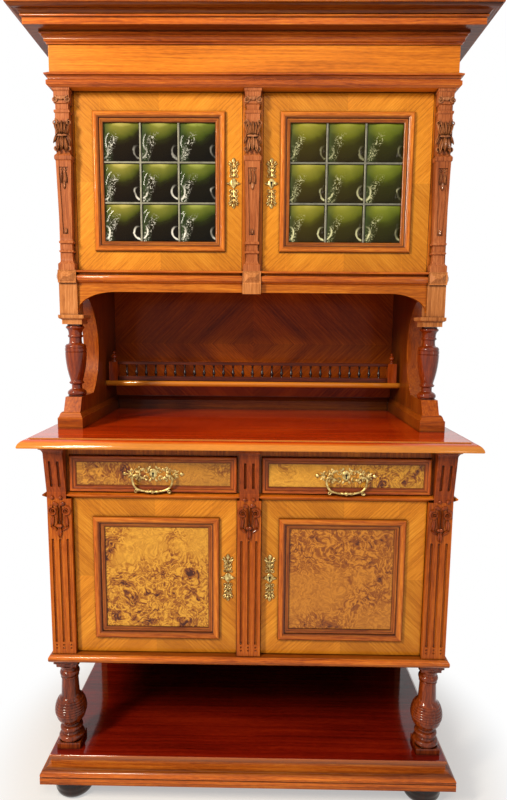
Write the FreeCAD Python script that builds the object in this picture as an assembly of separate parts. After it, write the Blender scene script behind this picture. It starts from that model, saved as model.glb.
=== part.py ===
import FreeCAD, Part
import math
import os

# Walnut buffet with a glazed display top, an open alcove and an open bay on turned columns.
# Millimetres, +Z up, the front faces -Y. The origin lies on the floor under the middle of the outline.
# Depths are measured from the front of the lower pilasters towards the wall.

os.makedirs("parts", exist_ok=True)

# Overall case
case_half = 580.0            # half width over the lower pilasters
case_depth = 580.0           # lower pilaster front to wall
counter_reach = 58.0         # counter nosing beyond the pilasters
board = 22.0                 # thickness of carcass boards
thin_board = 8.0             # thickness of back panels
running_gap = 0.3            # clearance of a piece that slides or turns
overrun = 60.0               # how far cutters pass the faces that they cut
full_turn = 360.0
quarter_turn = 90.0
column_sides = 24
foot_sides = 16
pin_sides = 12
finial_sides = 8
spindle_sides = 6

# Feet
foot_radius = 58.0
foot_height = 75.0
foot_inset = 40.0            # foot centre behind the pilaster front and inside its side

# Plinth and bottom shelf
plinth_reach = 40.0
plinth_height = 63.0
plinth_rail = 30.0
shelf_reach = 17.0
shelf_thickness = 16.0

# Open bay and its front columns
bay_height = 292.0
base_block = 70.0
base_block_height = 19.0
base_block_setback = 9.0
base_cap = 72.0
base_cap_reach = 3.0         # cap beyond the side of the case
base_cap_height = 28.0
bulb_radius = 46.0
bay_board_depth = 97.0       # width of the upright rear board on each side
bay_apron = 74.0             # height of the side rail under the deck
bay_bracket = 72.0           # size of the curved corner bracket

# Deck
deck_thickness = 25.0
deck_reach = 11.5

# Lower pilasters and doors
pilaster_width = 69.0
pilaster_projection = 16.0
flute_width = 7.0
flute_depth = 5.0
flute_pitch = 21.5
flute_foot = 26.0
flute_head = 110.0
lower_door_height = 471.0
door_thickness = 22.0
door_gap = 2.0               # above and below the doors
leaf_gap = 1.5               # beside doors and drawers
lower_outer_stile = 56.5     # moulding to the hinge edge of the leaf
lower_stile = 49.5           # inner edge of the leaf to the moulding
lower_foot_rail = 46.0
lower_head_rail = 53.0
lower_mould_width = 33.0
lower_mould_height = 11.0
lower_rebate = 24.0
panel_thickness = 8.0

# Rail between doors and drawers
rail_height = 19.0
rail_reach = 14.0

# Drawers
drawer_height = 105.5
drawer_stile = 62.0
drawer_depth = 500.0
drawer_front = 22.0
drawer_side = 12.0
drawer_bottom = 8.0
drawer_mould_width = 19.5
drawer_mould_height = 8.0
guide_height = 22.0

# Consoles beside the drawers
console_width = 55.0
console_foot = 6.0
console_lean = 18.0
console_flute_pitch = 23.0
console_flute_margin = 12.0
console_cap_height = 23.0
console_cap_reach = 8.0

# Counter
top_rail_height = 28.7
counter_thickness = 28.0

# Alcove base
riser_height = 29.0
riser_mould = 20.0
riser_setback = 115.0        # front of the end blocks behind the pilaster front
riser_width = 75.0
riser_step = 9.0
end_plinth_height = 44.0
end_plinth_lean = 21.0

# Alcove sides, columns and posts
alcove_side = 50.0
alcove_back = 17.0           # thickness of the framed back
alcove_radius = 176.0
alcove_sweep_setback = 162.0
alcove_sweep_height = 185.0  # centre of the sweep above the riser moulding
alcove_height = 402.0        # riser moulding to upper case
column_setback = 180.0       # column axis behind the pilaster front
column_radius = 32.0
column_height = 220.0
column_cap = 76.0
column_cap_height = 28.0
post_width = 54.0

# Gallery shelf
gallery_setback = 420.0
gallery_rise = 50.0          # riser moulding to shelf underside
gallery_shelf = 18.0
gallery_base = 16.0
gallery_depth = 15.0
gallery_rail = 10.0
gallery_post = 30.0
gallery_post_inset = 27.0    # post centre inside the alcove side
spindle_height = 41.0
spindle_radius = 5.5
spindle_count = 27
finial_radius = 9.5
finial_height = 37.0

# Upper case
upper_setback = 145.0        # front of the upper pilasters
upper_projection = 30.0      # upper pilaster front to door face
upper_inset = 3.0            # upper case inside the lower one, each side
upper_pilaster = 50.0
upper_side_stile = 54.0
upper_centre_stile = 60.0
upper_door_height = 506.0
upper_outer_stile = 52.5
upper_stile = 48.5
upper_foot_rail = 56.0
upper_head_rail = 52.0
upper_mould_width = 30.0
upper_mould_height = 10.0
upper_rebate = 22.0
apron_height = 62.0
apron_arch_width = 115.0
apron_arch_drop = 56.0
apron_setback = 16.0
rail_mould_height = 38.0
rail_mould_reach = 14.0
pyramid_block = 37.0
apron_block = 30.0
apron_block_width = 54.0
block_reach = 4.0

# Leaded glazing
pane_count = 3
glass_thickness = 3.0
glass_bulge = 7.0
came_width = 6.0
came_thickness = 5.0
bead_width = 10.0

# Entablature
frieze_reach = 4.0           # frieze beyond the side of the upper case
frieze_height = 142.0
architrave_mould = 40.0
architrave_reach = 12.0
bed_mould = 29.0
bed_reach = 19.0
cornice_height = 51.0
cornice_reach = 85.0

# Shelves inside
inner_shelf = 18.0
inner_shelf_setback = 60.0
lower_shelf_rise = 230.0
upper_shelf_rise = 245.0

# Pivots
pivot_radius = 3.0
pivot_fit = 0.05
pivot_inset = 12.0
pivot_setback = 4.0
pivot_length = 14.0

# Brass mounts and locks
plate_thickness = 1.5
plate_width = 32.0
plate_height = 144.0
plate_hole = 7.0
keyhole_radius = 2.6
keyhole_slot = 8.0
lock_case_width = 46.0
lock_case_height = 60.0
lock_case_depth = 10.0
pull_width = 176.0
pull_height = 45.0
ear_pitch = 87.4
ear_half = 4.0
bail_width = 112.0
bail_drop = 52.0
bail_bar = 5.0
bail_setback = 14.0          # bail axis in front of the drawer face
bail_pin = 1.5
knob_radius = 4.0
knob_length = 22.0

# Shares of the sizes above that place things
plate_height_share = 0.5     # height of a plate's centre on its leaf
lip_share = 0.3              # lip of a bolection behind the door face, of its height
bracket_bend_share = 0.4
cove_bend_share = 0.3
nose_bend_share = 0.5
bail_bend_share = 0.3
bail_shoulder_share = 0.35
bail_elbow_share = 0.43
point_share = 0.06
quarter_share = 0.5523       # handle of a curve that draws a quarter ellipse

# Levels above the floor
plinth_top = foot_height + plinth_height
shelf_top = plinth_top + shelf_thickness
deck_bottom = shelf_top + bay_height
deck_top = deck_bottom + deck_thickness
lower_door_bottom = deck_top + door_gap
lower_door_top = lower_door_bottom + lower_door_height
rail_bottom = lower_door_top + door_gap
rail_top = rail_bottom + rail_height
drawer_bottom_z = rail_top + running_gap
drawer_top_z = drawer_bottom_z + drawer_height
top_rail_bottom = drawer_top_z + leaf_gap
counter_bottom = top_rail_bottom + top_rail_height
counter_top = counter_bottom + counter_thickness
riser_top = counter_top + riser_height
sweep_base = riser_top + riser_mould
column_foot = sweep_base + end_plinth_height
column_top = column_foot + column_height
post_bottom = column_top + column_cap_height
upper_bottom = sweep_base + alcove_height
upper_deck_top = upper_bottom + board
upper_door_bottom = upper_deck_top + door_gap
upper_door_top = upper_door_bottom + upper_door_height
frieze_bottom = upper_door_top + door_gap
cornice_bottom = frieze_bottom + frieze_height
pyramid_z = upper_deck_top - pyramid_block
apron_bottom = upper_deck_top - apron_height

# Depths behind the lower pilaster front
door_face = pilaster_projection
door_back = door_face + door_thickness
inner_back = case_depth - thin_board
upper_face = upper_setback + upper_projection
upper_back = upper_face + door_thickness
post_front = column_setback - post_width / 2
post_back = post_front + post_width
apron_front = upper_setback + apron_setback
front_y = -(case_depth - counter_reach) / 2

# Places across
side_inner = case_half - board
stile_inner = case_half - pilaster_width
drawer_stile_inner = case_half - drawer_stile
half_stile = pilaster_width / 2
upper_half = case_half - upper_inset
upper_inner = upper_half - board
frieze_half = upper_half + frieze_reach
post_inner = upper_half - post_width
lower_leaf_inner = half_stile + door_gap
lower_leaf_outer = stile_inner - leaf_gap
upper_leaf_inner = upper_centre_stile / 2 + leaf_gap
upper_leaf_outer = upper_half - upper_side_stile - leaf_gap

UP = FreeCAD.Vector(0, 0, 1)
BACK = FreeCAD.Vector(0, 1, 0)
ACROSS = FreeCAD.Vector(1, 0, 0)


def y_at(depth):
    return front_y + depth


def save(name, shapes):
    solids = []
    for shape in shapes:
        solids.extend(shape.Solids)
    for solid in solids:
        if not solid.isValid():
            print("not valid:", name)
    whole = solids[0] if len(solids) == 1 else Part.makeCompound(solids)
    whole.exportStep("parts/" + name + ".step")


def box(x0, x1, d0, d1, z0, z1):
    corner = FreeCAD.Vector(x0, y_at(d0), z0)
    return Part.makeBox(x1 - x0, d1 - d0, z1 - z0, corner)


def mirrored(shape):
    return shape.mirror(FreeCAD.Vector(0, 0, 0), ACROSS)


def pair(shape):
    return [mirrored(shape), shape]


def face_of(points, bulges, place):
    # A closed outline; a bulge bends the edge that follows its point, to the right of its run
    edges = []
    count = len(points)
    for i in range(count):
        u0, v0 = points[i]
        u1, v1 = points[(i + 1) % count]
        start = place(u0, v0)
        end = place(u1, v1)
        bulge = bulges[i]
        if bulge:
            mid_u = (u0 + u1) / 2 + (v1 - v0) * bulge / 2
            mid_v = (v0 + v1) / 2 - (u1 - u0) * bulge / 2
            edges.append(Part.Arc(start, place(mid_u, mid_v), end).toShape())
        else:
            edges.append(Part.LineSegment(start, end).toShape())
    return Part.Face(Part.Wire(edges))


def straight(points):
    return [0] * len(points)


def turned_over(bulges):
    return [-bulge for bulge in bulges]


def scaled(shares, width, height):
    # Turns a table of shares into points and bulges
    points = [(share[0] * width, share[1] * height) for share in shares]
    bulges = [share[2] if len(share) > 2 else 0 for share in shares]
    return points, bulges


def prism_x(points, bulges, x0, x1):
    face = face_of(points, bulges, lambda d, z: FreeCAD.Vector(x0, y_at(d), z))
    return face.extrude(FreeCAD.Vector(x1 - x0, 0, 0))


def prism_y(points, bulges, d0, d1):
    face = face_of(points, bulges, lambda x, z: FreeCAD.Vector(x, y_at(d0), z))
    return face.extrude(FreeCAD.Vector(0, d1 - d0, 0))


def prism_z(points, bulges, z0, z1):
    face = face_of(points, bulges, lambda x, d: FreeCAD.Vector(x, y_at(d), z0))
    return face.extrude(FreeCAD.Vector(0, 0, z1 - z0))


def ring(x, depth, z, radius, sides):
    # A flat regular polygon as a wire
    corners = []
    for side in range(sides):
        angle = 2 * math.pi * (side + 1 / 2) / sides
        across = x + radius * math.cos(angle)
        corners.append(FreeCAD.Vector(across, y_at(depth) + radius * math.sin(angle), z))
    return Part.makePolygon(corners + [corners[0]])


def facetted(shares, radius, height, x, depth, z0, sides):
    # A turning as stacked many-sided frustums
    rings = [ring(x, depth, z0 + height * share[1], radius * share[0], sides) for share in shares]
    return Part.makeLoft(rings, True, True)


def pin(radius, x, depth, z0, length):
    # An upright many-sided pin
    return Part.makeLoft([ring(x, depth, z, radius, pin_sides) for z in (z0, z0 + length)], True, True)


def bore(radius, x, depth, z0, length):
    # A cutter whose flats clear a pin of that radius at every angle
    return pin(radius / math.cos(math.pi / pin_sides), x, depth, z0, length)


def laid(shape, x, depth, z, axis):
    # Turns an upright shape about a point, to lie along another axis
    shape.rotate(FreeCAD.Vector(x, y_at(depth), z), axis, quarter_turn)
    return shape


def wrap(shares, reach, height, half, front, z0, back, inset):
    # One moulding on the front and both sides of a case, mitred at the corners
    points, bulges = scaled(shares, reach, height)
    if inset:
        points = [(-inset, 0)] + points + [(-inset, height)]
        bulges = [0] + bulges + [0]
    front_run = [(front - out, z0 + up) for out, up in points]
    side_run = [(half + out, z0 + up) for out, up in points]
    along_front = prism_x(front_run, turned_over(bulges), -half - reach, half + reach)
    along_side = prism_y(side_run, bulges, front - reach, back)
    front_cut = [(inset - half, front + inset), (half - inset, front + inset)]
    front_cut += [(half + reach, front - reach), (-half - reach, front - reach)]
    side_cut = [(half - inset, front + inset), (half + reach, front - reach)]
    side_cut += [(half + reach, back), (half - inset, back)]
    front_piece = along_front.common(prism_z(front_cut, straight(front_cut), z0, z0 + height))
    side_piece = along_side.common(prism_z(side_cut, straight(side_cut), z0, z0 + height))
    return [front_piece] + pair(side_piece)


def edged_slab(shares, reach, half, front, z0, thickness, back):
    # A board whose front and side edges carry the same moulded profile
    points, bulges = scaled(shares, reach, thickness)
    across = [(half + out, z0 + up) for out, up in points]
    across += [(-half - out, z0 + up) for out, up in reversed(points)]
    across_bulges = bulges[:-1] + [0] + list(reversed(bulges[:-1])) + [0]
    along = [(front - out, z0 + up) for out, up in points]
    along += [(back, z0 + thickness), (back, z0)]
    along_bulges = turned_over(bulges[:-1]) + [0, 0, 0]
    body = prism_y(across, across_bulges, front - reach, back)
    return body.common(prism_x(along, along_bulges, -half - reach, half + reach))


def framed(shares, width, height, x0, x1, z0, z1, face_depth):
    # Four mitred strips round a rectangle; the profile runs inwards from the outer edge
    points, bulges = scaled(shares, width, height)
    near = face_depth - 2 * height
    far = face_depth + 2 * height
    foot = [(face_depth - up, z0 + inward) for inward, up in points]
    corner = [(x0, z0), (x1, z0), (x1 - width, z0 + width), (x0 + width, z0 + width)]
    bottom = prism_x(foot, bulges, x0, x1).common(prism_y(corner, straight(corner), near, far))
    side = [(x0 + inward, face_depth - up) for inward, up in points]
    corner = [(x0, z0), (x0 + width, z0 + width), (x0 + width, z1 - width), (x0, z1)]
    upright = prism_z(side, turned_over(bulges), z0, z1)
    upright = upright.common(prism_y(corner, straight(corner), near, far))
    middle = FreeCAD.Vector((x0 + x1) / 2, 0, (z0 + z1) / 2)
    return [bottom, bottom.mirror(middle, UP), upright, upright.mirror(middle, ACROSS)]


def stacked(shares, half, height, x, front, back, z0):
    # An upright whose width and projection step in and out together
    right = [(x + half * share[0], z0 + height * share[1]) for share in shares]
    left = [(2 * x - across, z) for across, z in reversed(right)]
    outline = right + left
    side = [(front + half * (1 - share[0]), z0 + height * share[1]) for share in shares]
    side += [(back, z0 + height), (back, z0)]
    body = prism_y(outline, straight(outline), front - half, back)
    return body.common(prism_x(side, straight(side), x - 2 * half, x + 2 * half))


# Bun feet
foot_shares = [(0.62, 0), (0.86, 0.10), (1.0, 0.34), (0.96, 0.62), (0.80, 0.82), (0.90, 1.0)]
foot_x = case_half - foot_inset
feet = []
for foot_depth in (foot_inset, case_depth - foot_inset - board):
    feet.extend(pair(facetted(foot_shares, foot_radius, foot_height, foot_x, foot_depth, 0, foot_sides)))
save("bun_feet", feet)

# Plinth frame and its moulding
rail_back = case_depth - plinth_rail
plinth_boards = [box(-case_half, case_half, 0, plinth_rail, foot_height, plinth_top)]
plinth_boards += [box(-case_half, case_half, rail_back, case_depth, foot_height, plinth_top)]
side_rail = box(case_half - plinth_rail, case_half, plinth_rail, rail_back, foot_height, plinth_top)
plinth_shares = [(0, 0), (1.0, 0), (1.0, 0.33), (0.94, 0.35), (0.98, 0.37, 0.45), (0.72, 0.66)]
plinth_shares += [(0.68, 0.69), (0.34, 0.76), (0.34, 1.0), (0, 1.0)]
plinth_moulding = wrap(plinth_shares, plinth_reach, plinth_height, case_half, 0, foot_height, case_depth, 0)
save("plinth", plinth_boards + pair(side_rail) + plinth_moulding)

# Bottom shelf of the open bay
shelf_shares = [(0.80, 0), (0.80, 0.30), (1.0, 0.45, 0.35), (1.0, 0.85, 0.2), (0.85, 1.0)]
save("bottom_shelf", [
    edged_slab(shelf_shares, shelf_reach, case_half, 0, plinth_top, shelf_thickness, case_depth),
])

# Columns of the bay
base_shares = [(0.80, 0), (0.84, 0.05), (0.76, 0.095), (0.72, 0.17), (0.72, 0.29), (0.93, 0.36)]
base_shares += [(1.0, 0.44), (0.93, 0.52), (0.60, 0.65), (0.53, 0.82), (0.64, 0.85), (0.64, 0.93)]
base_shares += [(0.54, 0.95), (0.66, 1.0)]
half_block = base_block / 2
half_cap = base_cap / 2
base_axis = base_block_setback + half_block
base_x = case_half - half_cap + base_cap_reach
turning_foot = shelf_top + base_block_height
turning_top = deck_bottom - base_cap_height
base_column = facetted(
    base_shares, bulb_radius, turning_top - turning_foot, base_x, base_axis, turning_foot, column_sides
)
for half, bottom, over in ((half_block, shelf_top, turning_foot), (half_cap, turning_top, deck_bottom)):
    square = box(base_x - half, base_x + half, base_axis - half, base_axis + half, bottom, over)
    base_column = base_column.fuse(square)
save("base_columns", pair(base_column))

# Rear side boards, side rails and brackets of the bay
bay_end = case_depth - bay_board_depth
bay_rail_foot = deck_bottom - bay_apron
bay_boards = [box(side_inner, case_half, bay_end, case_depth, shelf_top, deck_bottom)]
bay_boards += [box(side_inner, case_half, base_axis + half_cap, bay_end, bay_rail_foot, deck_bottom)]
bracket = [(bay_end, bay_rail_foot - bay_bracket), (bay_end, bay_rail_foot)]
bracket += [(bay_end - bay_bracket, bay_rail_foot)]
bay_boards += [prism_x(bracket, [0, 0, -bracket_bend_share], side_inner, case_half)]
save("bay_side_boards", [solid for one in bay_boards for solid in pair(one)])

# Deck over the bay
deck_shares = [(0.35, 0), (0.45, 0.06, 0.38), (1.0, 0.46, 0.38), (0.45, 0.92), (0.35, 1.0)]
save("lower_deck", [
    edged_slab(deck_shares, deck_reach, case_half, 0, deck_bottom, deck_thickness, case_depth),
])

# Sides and backs of both cases
side_panels = pair(box(side_inner, case_half, door_back, case_depth, deck_top, counter_bottom))
side_panels += pair(box(upper_inner, upper_half, upper_back, case_depth, upper_deck_top, cornice_bottom))
save("side_panels", side_panels)
back_panels = [box(-side_inner, side_inner, inner_back, case_depth, shelf_top, deck_bottom)]
back_panels += [box(-side_inner, side_inner, inner_back, case_depth, deck_top, counter_bottom)]
back_panels += [box(-upper_inner, upper_inner, inner_back, case_depth, upper_deck_top, cornice_bottom)]
save("back_panels", back_panels)

# Face frame of the lower case
stiles = pair(box(stile_inner, case_half, door_face, door_back, deck_top, rail_bottom))
stiles += pair(box(drawer_stile_inner, case_half, door_face, door_back, rail_top, counter_bottom))
stiles += [box(-half_stile, half_stile, door_face, door_back, deck_top, rail_bottom)]
stiles += [box(-half_stile, half_stile, door_face, door_back, rail_top, top_rail_bottom)]
stiles += [box(-case_half, case_half, door_face, door_back, rail_bottom, rail_top)]
top_rail_half = drawer_stile_inner
stiles += [box(-top_rail_half, top_rail_half, door_face, door_back, top_rail_bottom, counter_bottom)]
save("lower_face_frame", stiles)

# Dust board, divider and guides round the drawers
guide_top = rail_top + guide_height
bay_boards = [box(-side_inner, side_inner, door_back, inner_back, rail_top - inner_shelf, rail_top)]
bay_boards += [box(-board / 2, board / 2, door_back, inner_back, rail_top, counter_bottom)]
bay_boards += pair(box(board / 2, half_stile, door_back, inner_back, rail_top, guide_top))
bay_boards += pair(box(drawer_stile_inner, side_inner, door_back, inner_back, rail_top, guide_top))
save("drawer_bay_boards", bay_boards)

# Nosing on the rail, stopped against the consoles
nose_shares = [(0, 0), (0.25, 0), (0.9, 0.35, 0.25), (1.0, 0.60), (0.1, 0.95), (0, 0.95)]
nosing = wrap(nose_shares, rail_reach, rail_height, case_half, door_face, rail_bottom, case_depth, 0)
front_nose = nosing[0]
half_console = console_width / 2
far_out = case_half + overrun
gap_low = rail_bottom - overrun
gap_high = rail_top + overrun
console_inner = case_half - console_width
for x0, x1 in ((-half_console, half_console), (console_inner, far_out), (-far_out, -console_inner)):
    front_nose = front_nose.cut(box(x0, x1, -overrun, door_face, gap_low, gap_high))
side_noses = [side.cut(box(-far_out, far_out, -overrun, 0, gap_low, gap_high)) for side in nosing[1:]]
save("rail_nosing", [front_nose] + side_noses)


# Lower pilasters with three flutes each
def lower_pilaster(x):
    body = box(x - half_stile, x + half_stile, 0, door_face, deck_top, rail_bottom)
    half = flute_width / 2
    flute_bottom = deck_top + flute_foot
    flute_top = rail_bottom - flute_head
    for step in (-1, 0, 1):
        middle = x + step * flute_pitch
        body = body.cut(box(middle - half, middle + half, -overrun, flute_depth, flute_bottom, flute_top))
    return body


pilaster_x = case_half - half_stile
save("lower_pilasters", [lower_pilaster(-pilaster_x), lower_pilaster(0), lower_pilaster(pilaster_x)])

# Fluted consoles that lean out under the counter
console_top = counter_bottom - console_cap_height
console_heel = rail_top + console_foot
lean = [(0, rail_top), (0, console_heel), (-console_lean, console_top)]
lean += [(door_face, console_top), (door_face, rail_top)]
flute_low = rail_top + console_flute_margin
flute_high = console_top - console_flute_margin
flute_lean = console_lean * (flute_high - console_heel) / (console_top - console_heel)
flute_side = [(0, flute_low), (flute_depth, flute_low), (flute_depth - flute_lean, flute_high)]
flute_side += [(-console_lean - flute_depth, flute_high), (-console_lean - flute_depth, flute_low)]
cap_front = -console_lean - console_cap_reach
cap_side = [(-console_lean, console_top), (cap_front, counter_bottom)]
cap_side += [(door_face, counter_bottom), (door_face, console_top)]


def console(x):
    body = prism_x(lean, straight(lean), x - half_console, x + half_console)
    for side in (-1, 1):
        middle = x + side * console_flute_pitch / 2
        groove = prism_x(flute_side, straight(flute_side), middle - flute_width / 2, middle + flute_width / 2)
        body = body.cut(groove)
    wide = half_console + console_cap_reach
    cap = prism_x(cap_side, [cove_bend_share, 0, 0, 0], x - wide, x + wide)
    flare = [(x - half_console, console_top), (x + half_console, console_top)]
    flare += [(x + wide, counter_bottom), (x - wide, counter_bottom)]
    cap = cap.common(prism_y(flare, [0, -cove_bend_share, 0, -cove_bend_share], -overrun, door_face))
    foot = box(x - half_console, x + half_console, 0, door_face, rail_bottom, rail_top)
    return [body, cap, foot]


console_x = case_half - half_console
save("consoles", console(-console_x) + console(0) + console(console_x))

# Counter
counter_shares = [(0.75, 0), (0.98, 0.10), (1.0, 0.22, 0.42), (0.52, 0.86), (0.52, 1.0)]
save("counter_top", [
    edged_slab(counter_shares, counter_reach, case_half, 0, counter_bottom, counter_thickness, case_depth),
])

# Shelves inside the cabinets
shelf_z = deck_top + lower_shelf_rise
shelves = [box(-side_inner, side_inner, inner_shelf_setback, inner_back, shelf_z, shelf_z + inner_shelf)]
shelf_z = upper_deck_top + upper_shelf_rise
shelf_front = upper_back + inner_shelf
shelves += [box(-upper_inner, upper_inner, shelf_front, inner_back, shelf_z, shelf_z + inner_shelf)]
save("inner_shelves", shelves)

# Riser round the alcove: two end blocks run back to the wall, with a low back between them
riser_inner = case_half - riser_width + door_gap
riser_outer = case_half + door_gap
riser_back_face = case_depth - riser_step - alcove_back
mould_shares = [(1.0, 0), (1.0, 0.2), (0.75, 0.25), (0.2, 0.9), (0, 0.9), (0, 1.0)]
mould_levels = [riser_top + riser_mould * share[1] for share in mould_shares]
mould_steps = [riser_step * (1 - share[0]) for share in mould_shares]


def riser(x0, x1, d0, d1):
    across = [(x0, counter_top), (x1, counter_top)]
    across += [(x1 - step, z) for step, z in zip(mould_steps, mould_levels)]
    across += [(x0 + step, z) for step, z in reversed(list(zip(mould_steps, mould_levels)))]
    along = [(d0, counter_top)] + [(d0 + step, z) for step, z in zip(mould_steps, mould_levels)]
    along += [(d1, sweep_base), (d1, counter_top)]
    body = prism_y(across, straight(across), d0, d1)
    return body.common(prism_x(along, straight(along), x0, x1))


back_run = [(riser_back_face, counter_top)]
back_run += [(riser_back_face + step, z) for step, z in zip(mould_steps, mould_levels)]
back_run += [(case_depth, sweep_base), (case_depth, counter_top)]
risers = pair(riser(riser_inner, riser_outer, riser_setback, case_depth))
risers += [prism_x(back_run, straight(back_run), -riser_inner, riser_inner)]
save("alcove_riser", risers)

# Alcove sides: a foot that carries the column, and a board swept back in a deep curve
side_in = riser_inner + riser_step
side_out = side_in + alcove_side
foot_front = riser_setback + riser_step
foot_side = [(foot_front, sweep_base), (foot_front + end_plinth_lean, column_foot)]
foot_side += [(case_depth, column_foot), (case_depth, sweep_base)]
end_plinth = prism_x(foot_side, straight(foot_side), side_in, side_out)
sweep_z = sweep_base + alcove_sweep_height
sweep_length = alcove_side + 2 * overrun
sweep_start = FreeCAD.Vector(side_in - overrun, y_at(alcove_sweep_setback), sweep_z)
sweep = Part.makeCylinder(alcove_radius, sweep_length, sweep_start, ACROSS)
side_board = box(side_in, side_out, post_back, case_depth, column_foot, upper_bottom).cut(sweep)
save("alcove_sides", [one for solid in [end_plinth] + side_board.Solids for one in pair(solid)])

# Alcove back
alcove_face = case_depth - alcove_back
save("alcove_back_panel", [box(-side_in, side_in, alcove_face, case_depth, sweep_base, upper_bottom)])

# Columns and posts that carry the upper case
column_shares = [(0.82, 0), (0.88, 0.05), (0.50, 0.105), (0.50, 0.165), (0.71, 0.19), (0.57, 0.22)]
column_shares += [(1.0, 0.61), (1.0, 0.67), (0.90, 0.72), (0.60, 0.745), (0.60, 0.82), (0.70, 0.84)]
column_shares += [(0.62, 0.865), (0.72, 0.94), (0.80, 0.97), (0.76, 1.0)]
column_x = side_in + alcove_side / 2
save("alcove_columns", pair(facetted(
    column_shares, column_radius, column_height, column_x, column_setback, column_foot, column_sides
)))
cap_shares = [(0.78, 0), (0.78, 0.45), (0.86, 0.55), (1.0, 0.72), (1.0, 1.0)]
half_cap = column_cap / 2
cap_levels = [column_top + column_cap_height * share[1] for share in cap_shares]
cap_halves = [half_cap * share[0] for share in cap_shares]
cap_across = [(column_x + half, z) for half, z in zip(cap_halves, cap_levels)]
cap_across += [(2 * column_x - x, z) for x, z in reversed(cap_across)]
cap_along = [(column_setback - half, z) for half, z in zip(cap_halves, cap_levels)]
cap_along += [(2 * column_setback - d, z) for d, z in reversed(cap_along)]
cap = prism_y(cap_across, straight(cap_across), column_setback - half_cap, column_setback + half_cap)
cap = cap.common(prism_x(cap_along, straight(cap_along), column_x - half_cap, column_x + half_cap))
post = box(post_inner, upper_half, post_front, post_back, post_bottom, pyramid_z)
post = post.fuse(box(post_inner, upper_half, upper_face, post_back, post_bottom, upper_bottom))
save("upper_posts", pair(cap) + pair(post))

# Gallery shelf
gallery_bottom = sweep_base + gallery_rise
gallery_top = gallery_bottom + gallery_shelf
shelf_side = [(gallery_setback, gallery_bottom), (gallery_setback, gallery_top)]
shelf_side += [(alcove_face, gallery_top), (alcove_face, gallery_bottom)]
save("gallery_shelf", [prism_x(shelf_side, [-nose_bend_share, 0, 0, 0], -side_in, side_in)])

# Gallery posts with finials, and the rails between them
base_rail_top = gallery_top + gallery_base
rail_z = base_rail_top + spindle_height
gallery_high = rail_z + gallery_rail
gallery_axis = gallery_setback + gallery_depth
post_half = gallery_post / 2
post_x = side_in - gallery_post_inset
posts = pair(box(
    post_x - post_half, post_x + post_half, gallery_axis - post_half, gallery_axis + post_half,
    gallery_top, gallery_high,
))
finial_shares = [(0.95, 0), (0.95, 0.12), (0.45, 0.24), (1.0, 0.46), (1.0, 0.60), (0.35, 0.72)]
finial_shares += [(0.6, 0.86), (0.3, 1.0)]
posts += pair(facetted(
    finial_shares, finial_radius, finial_height, post_x, gallery_axis, gallery_high, finial_sides
))
save("gallery_posts", posts)
rail_half = post_x - post_half
rail_front = gallery_axis - gallery_depth / 2
rail_rear = gallery_axis + gallery_depth / 2
save("gallery_rails", [
    box(-rail_half, rail_half, rail_front, rail_rear, gallery_top, base_rail_top),
    box(-rail_half, rail_half, rail_front, rail_rear, rail_z, gallery_high),
])

# Turned spindles, evenly spaced between the posts
spindle_shares = [(0.75, 0), (1.0, 0.28), (0.5, 0.70), (0.8, 1.0)]
spindle_pitch = 2 * rail_half / (spindle_count + 1)
spindles = []
for number in range(1, spindle_count + 1):
    x = spindle_pitch * number - rail_half
    spindles.append(facetted(
        spindle_shares, spindle_radius, spindle_height, x, gallery_axis, base_rail_top, spindle_sides
    ))
save("gallery_spindles", spindles)

# Floor and cover boards of the upper case
cover_half = frieze_half - board
cover_top = cornice_bottom + board
upper_boards = [box(-upper_half, upper_half, upper_face, case_depth, upper_bottom, upper_deck_top)]
upper_boards += [box(-cover_half, cover_half, upper_setback + board, case_depth, cornice_bottom, cover_top)]
save("upper_boards", upper_boards)

# Face frame of the upper case
half_centre = upper_centre_stile / 2
side_stile_inner = upper_half - upper_side_stile
stiles = pair(box(side_stile_inner, upper_half, upper_face, upper_back, upper_deck_top, frieze_bottom))
stiles += [box(-half_centre, half_centre, upper_face, upper_back, upper_deck_top, frieze_bottom)]
stiles += [box(-upper_half, upper_half, upper_face, upper_back, frieze_bottom, cornice_bottom)]
save("upper_face_frame", stiles)

# Apron under the doors: a straight rail and two arched brackets
arch_start = post_inner - apron_arch_width
spring = FreeCAD.Vector(post_inner, y_at(apron_front), apron_bottom - apron_arch_drop)
crown = FreeCAD.Vector(arch_start, y_at(apron_front), apron_bottom)
over_crown = FreeCAD.Vector(arch_start, y_at(apron_front), upper_deck_top)
over_spring = FreeCAD.Vector(post_inner, y_at(apron_front), upper_deck_top)
rise = FreeCAD.Vector(0, 0, apron_arch_drop * quarter_share)
run = FreeCAD.Vector(apron_arch_width * quarter_share, 0, 0)
arch = Part.BezierCurve()
arch.setPoles([spring, spring + rise, crown + run, crown])
outline = [arch.toShape()] + Part.makePolygon([crown, over_crown, over_spring, spring]).Edges
bracket = Part.Face(Part.Wire(outline)).extrude(FreeCAD.Vector(0, upper_face - apron_front, 0))
apron = [box(-arch_start, arch_start, apron_front, upper_face, apron_bottom, upper_deck_top)]
save("apron_rail", apron + pair(bracket))

# Moulding along the top of the apron, stopped against the pointed blocks
rail_shares = [(0, 0), (0.5, 0.12), (0.5, 0.17), (0.8, 0.2, 0.3), (0.8, 0.62), (0.3, 0.68, -0.3)]
rail_shares += [(0.9, 0.85), (1.0, 0.85), (1.0, 1.0), (0, 1.0)]
points, bulges = scaled(rail_shares, rail_mould_reach, rail_mould_height)
mould_foot = upper_deck_top - rail_mould_height
mould_side = [(apron_front - out, mould_foot + up) for out, up in points]
block_half = apron_block_width / 2
save("apron_moulding", pair(prism_x(mould_side, turned_over(bulges), block_half, post_inner)))

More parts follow.
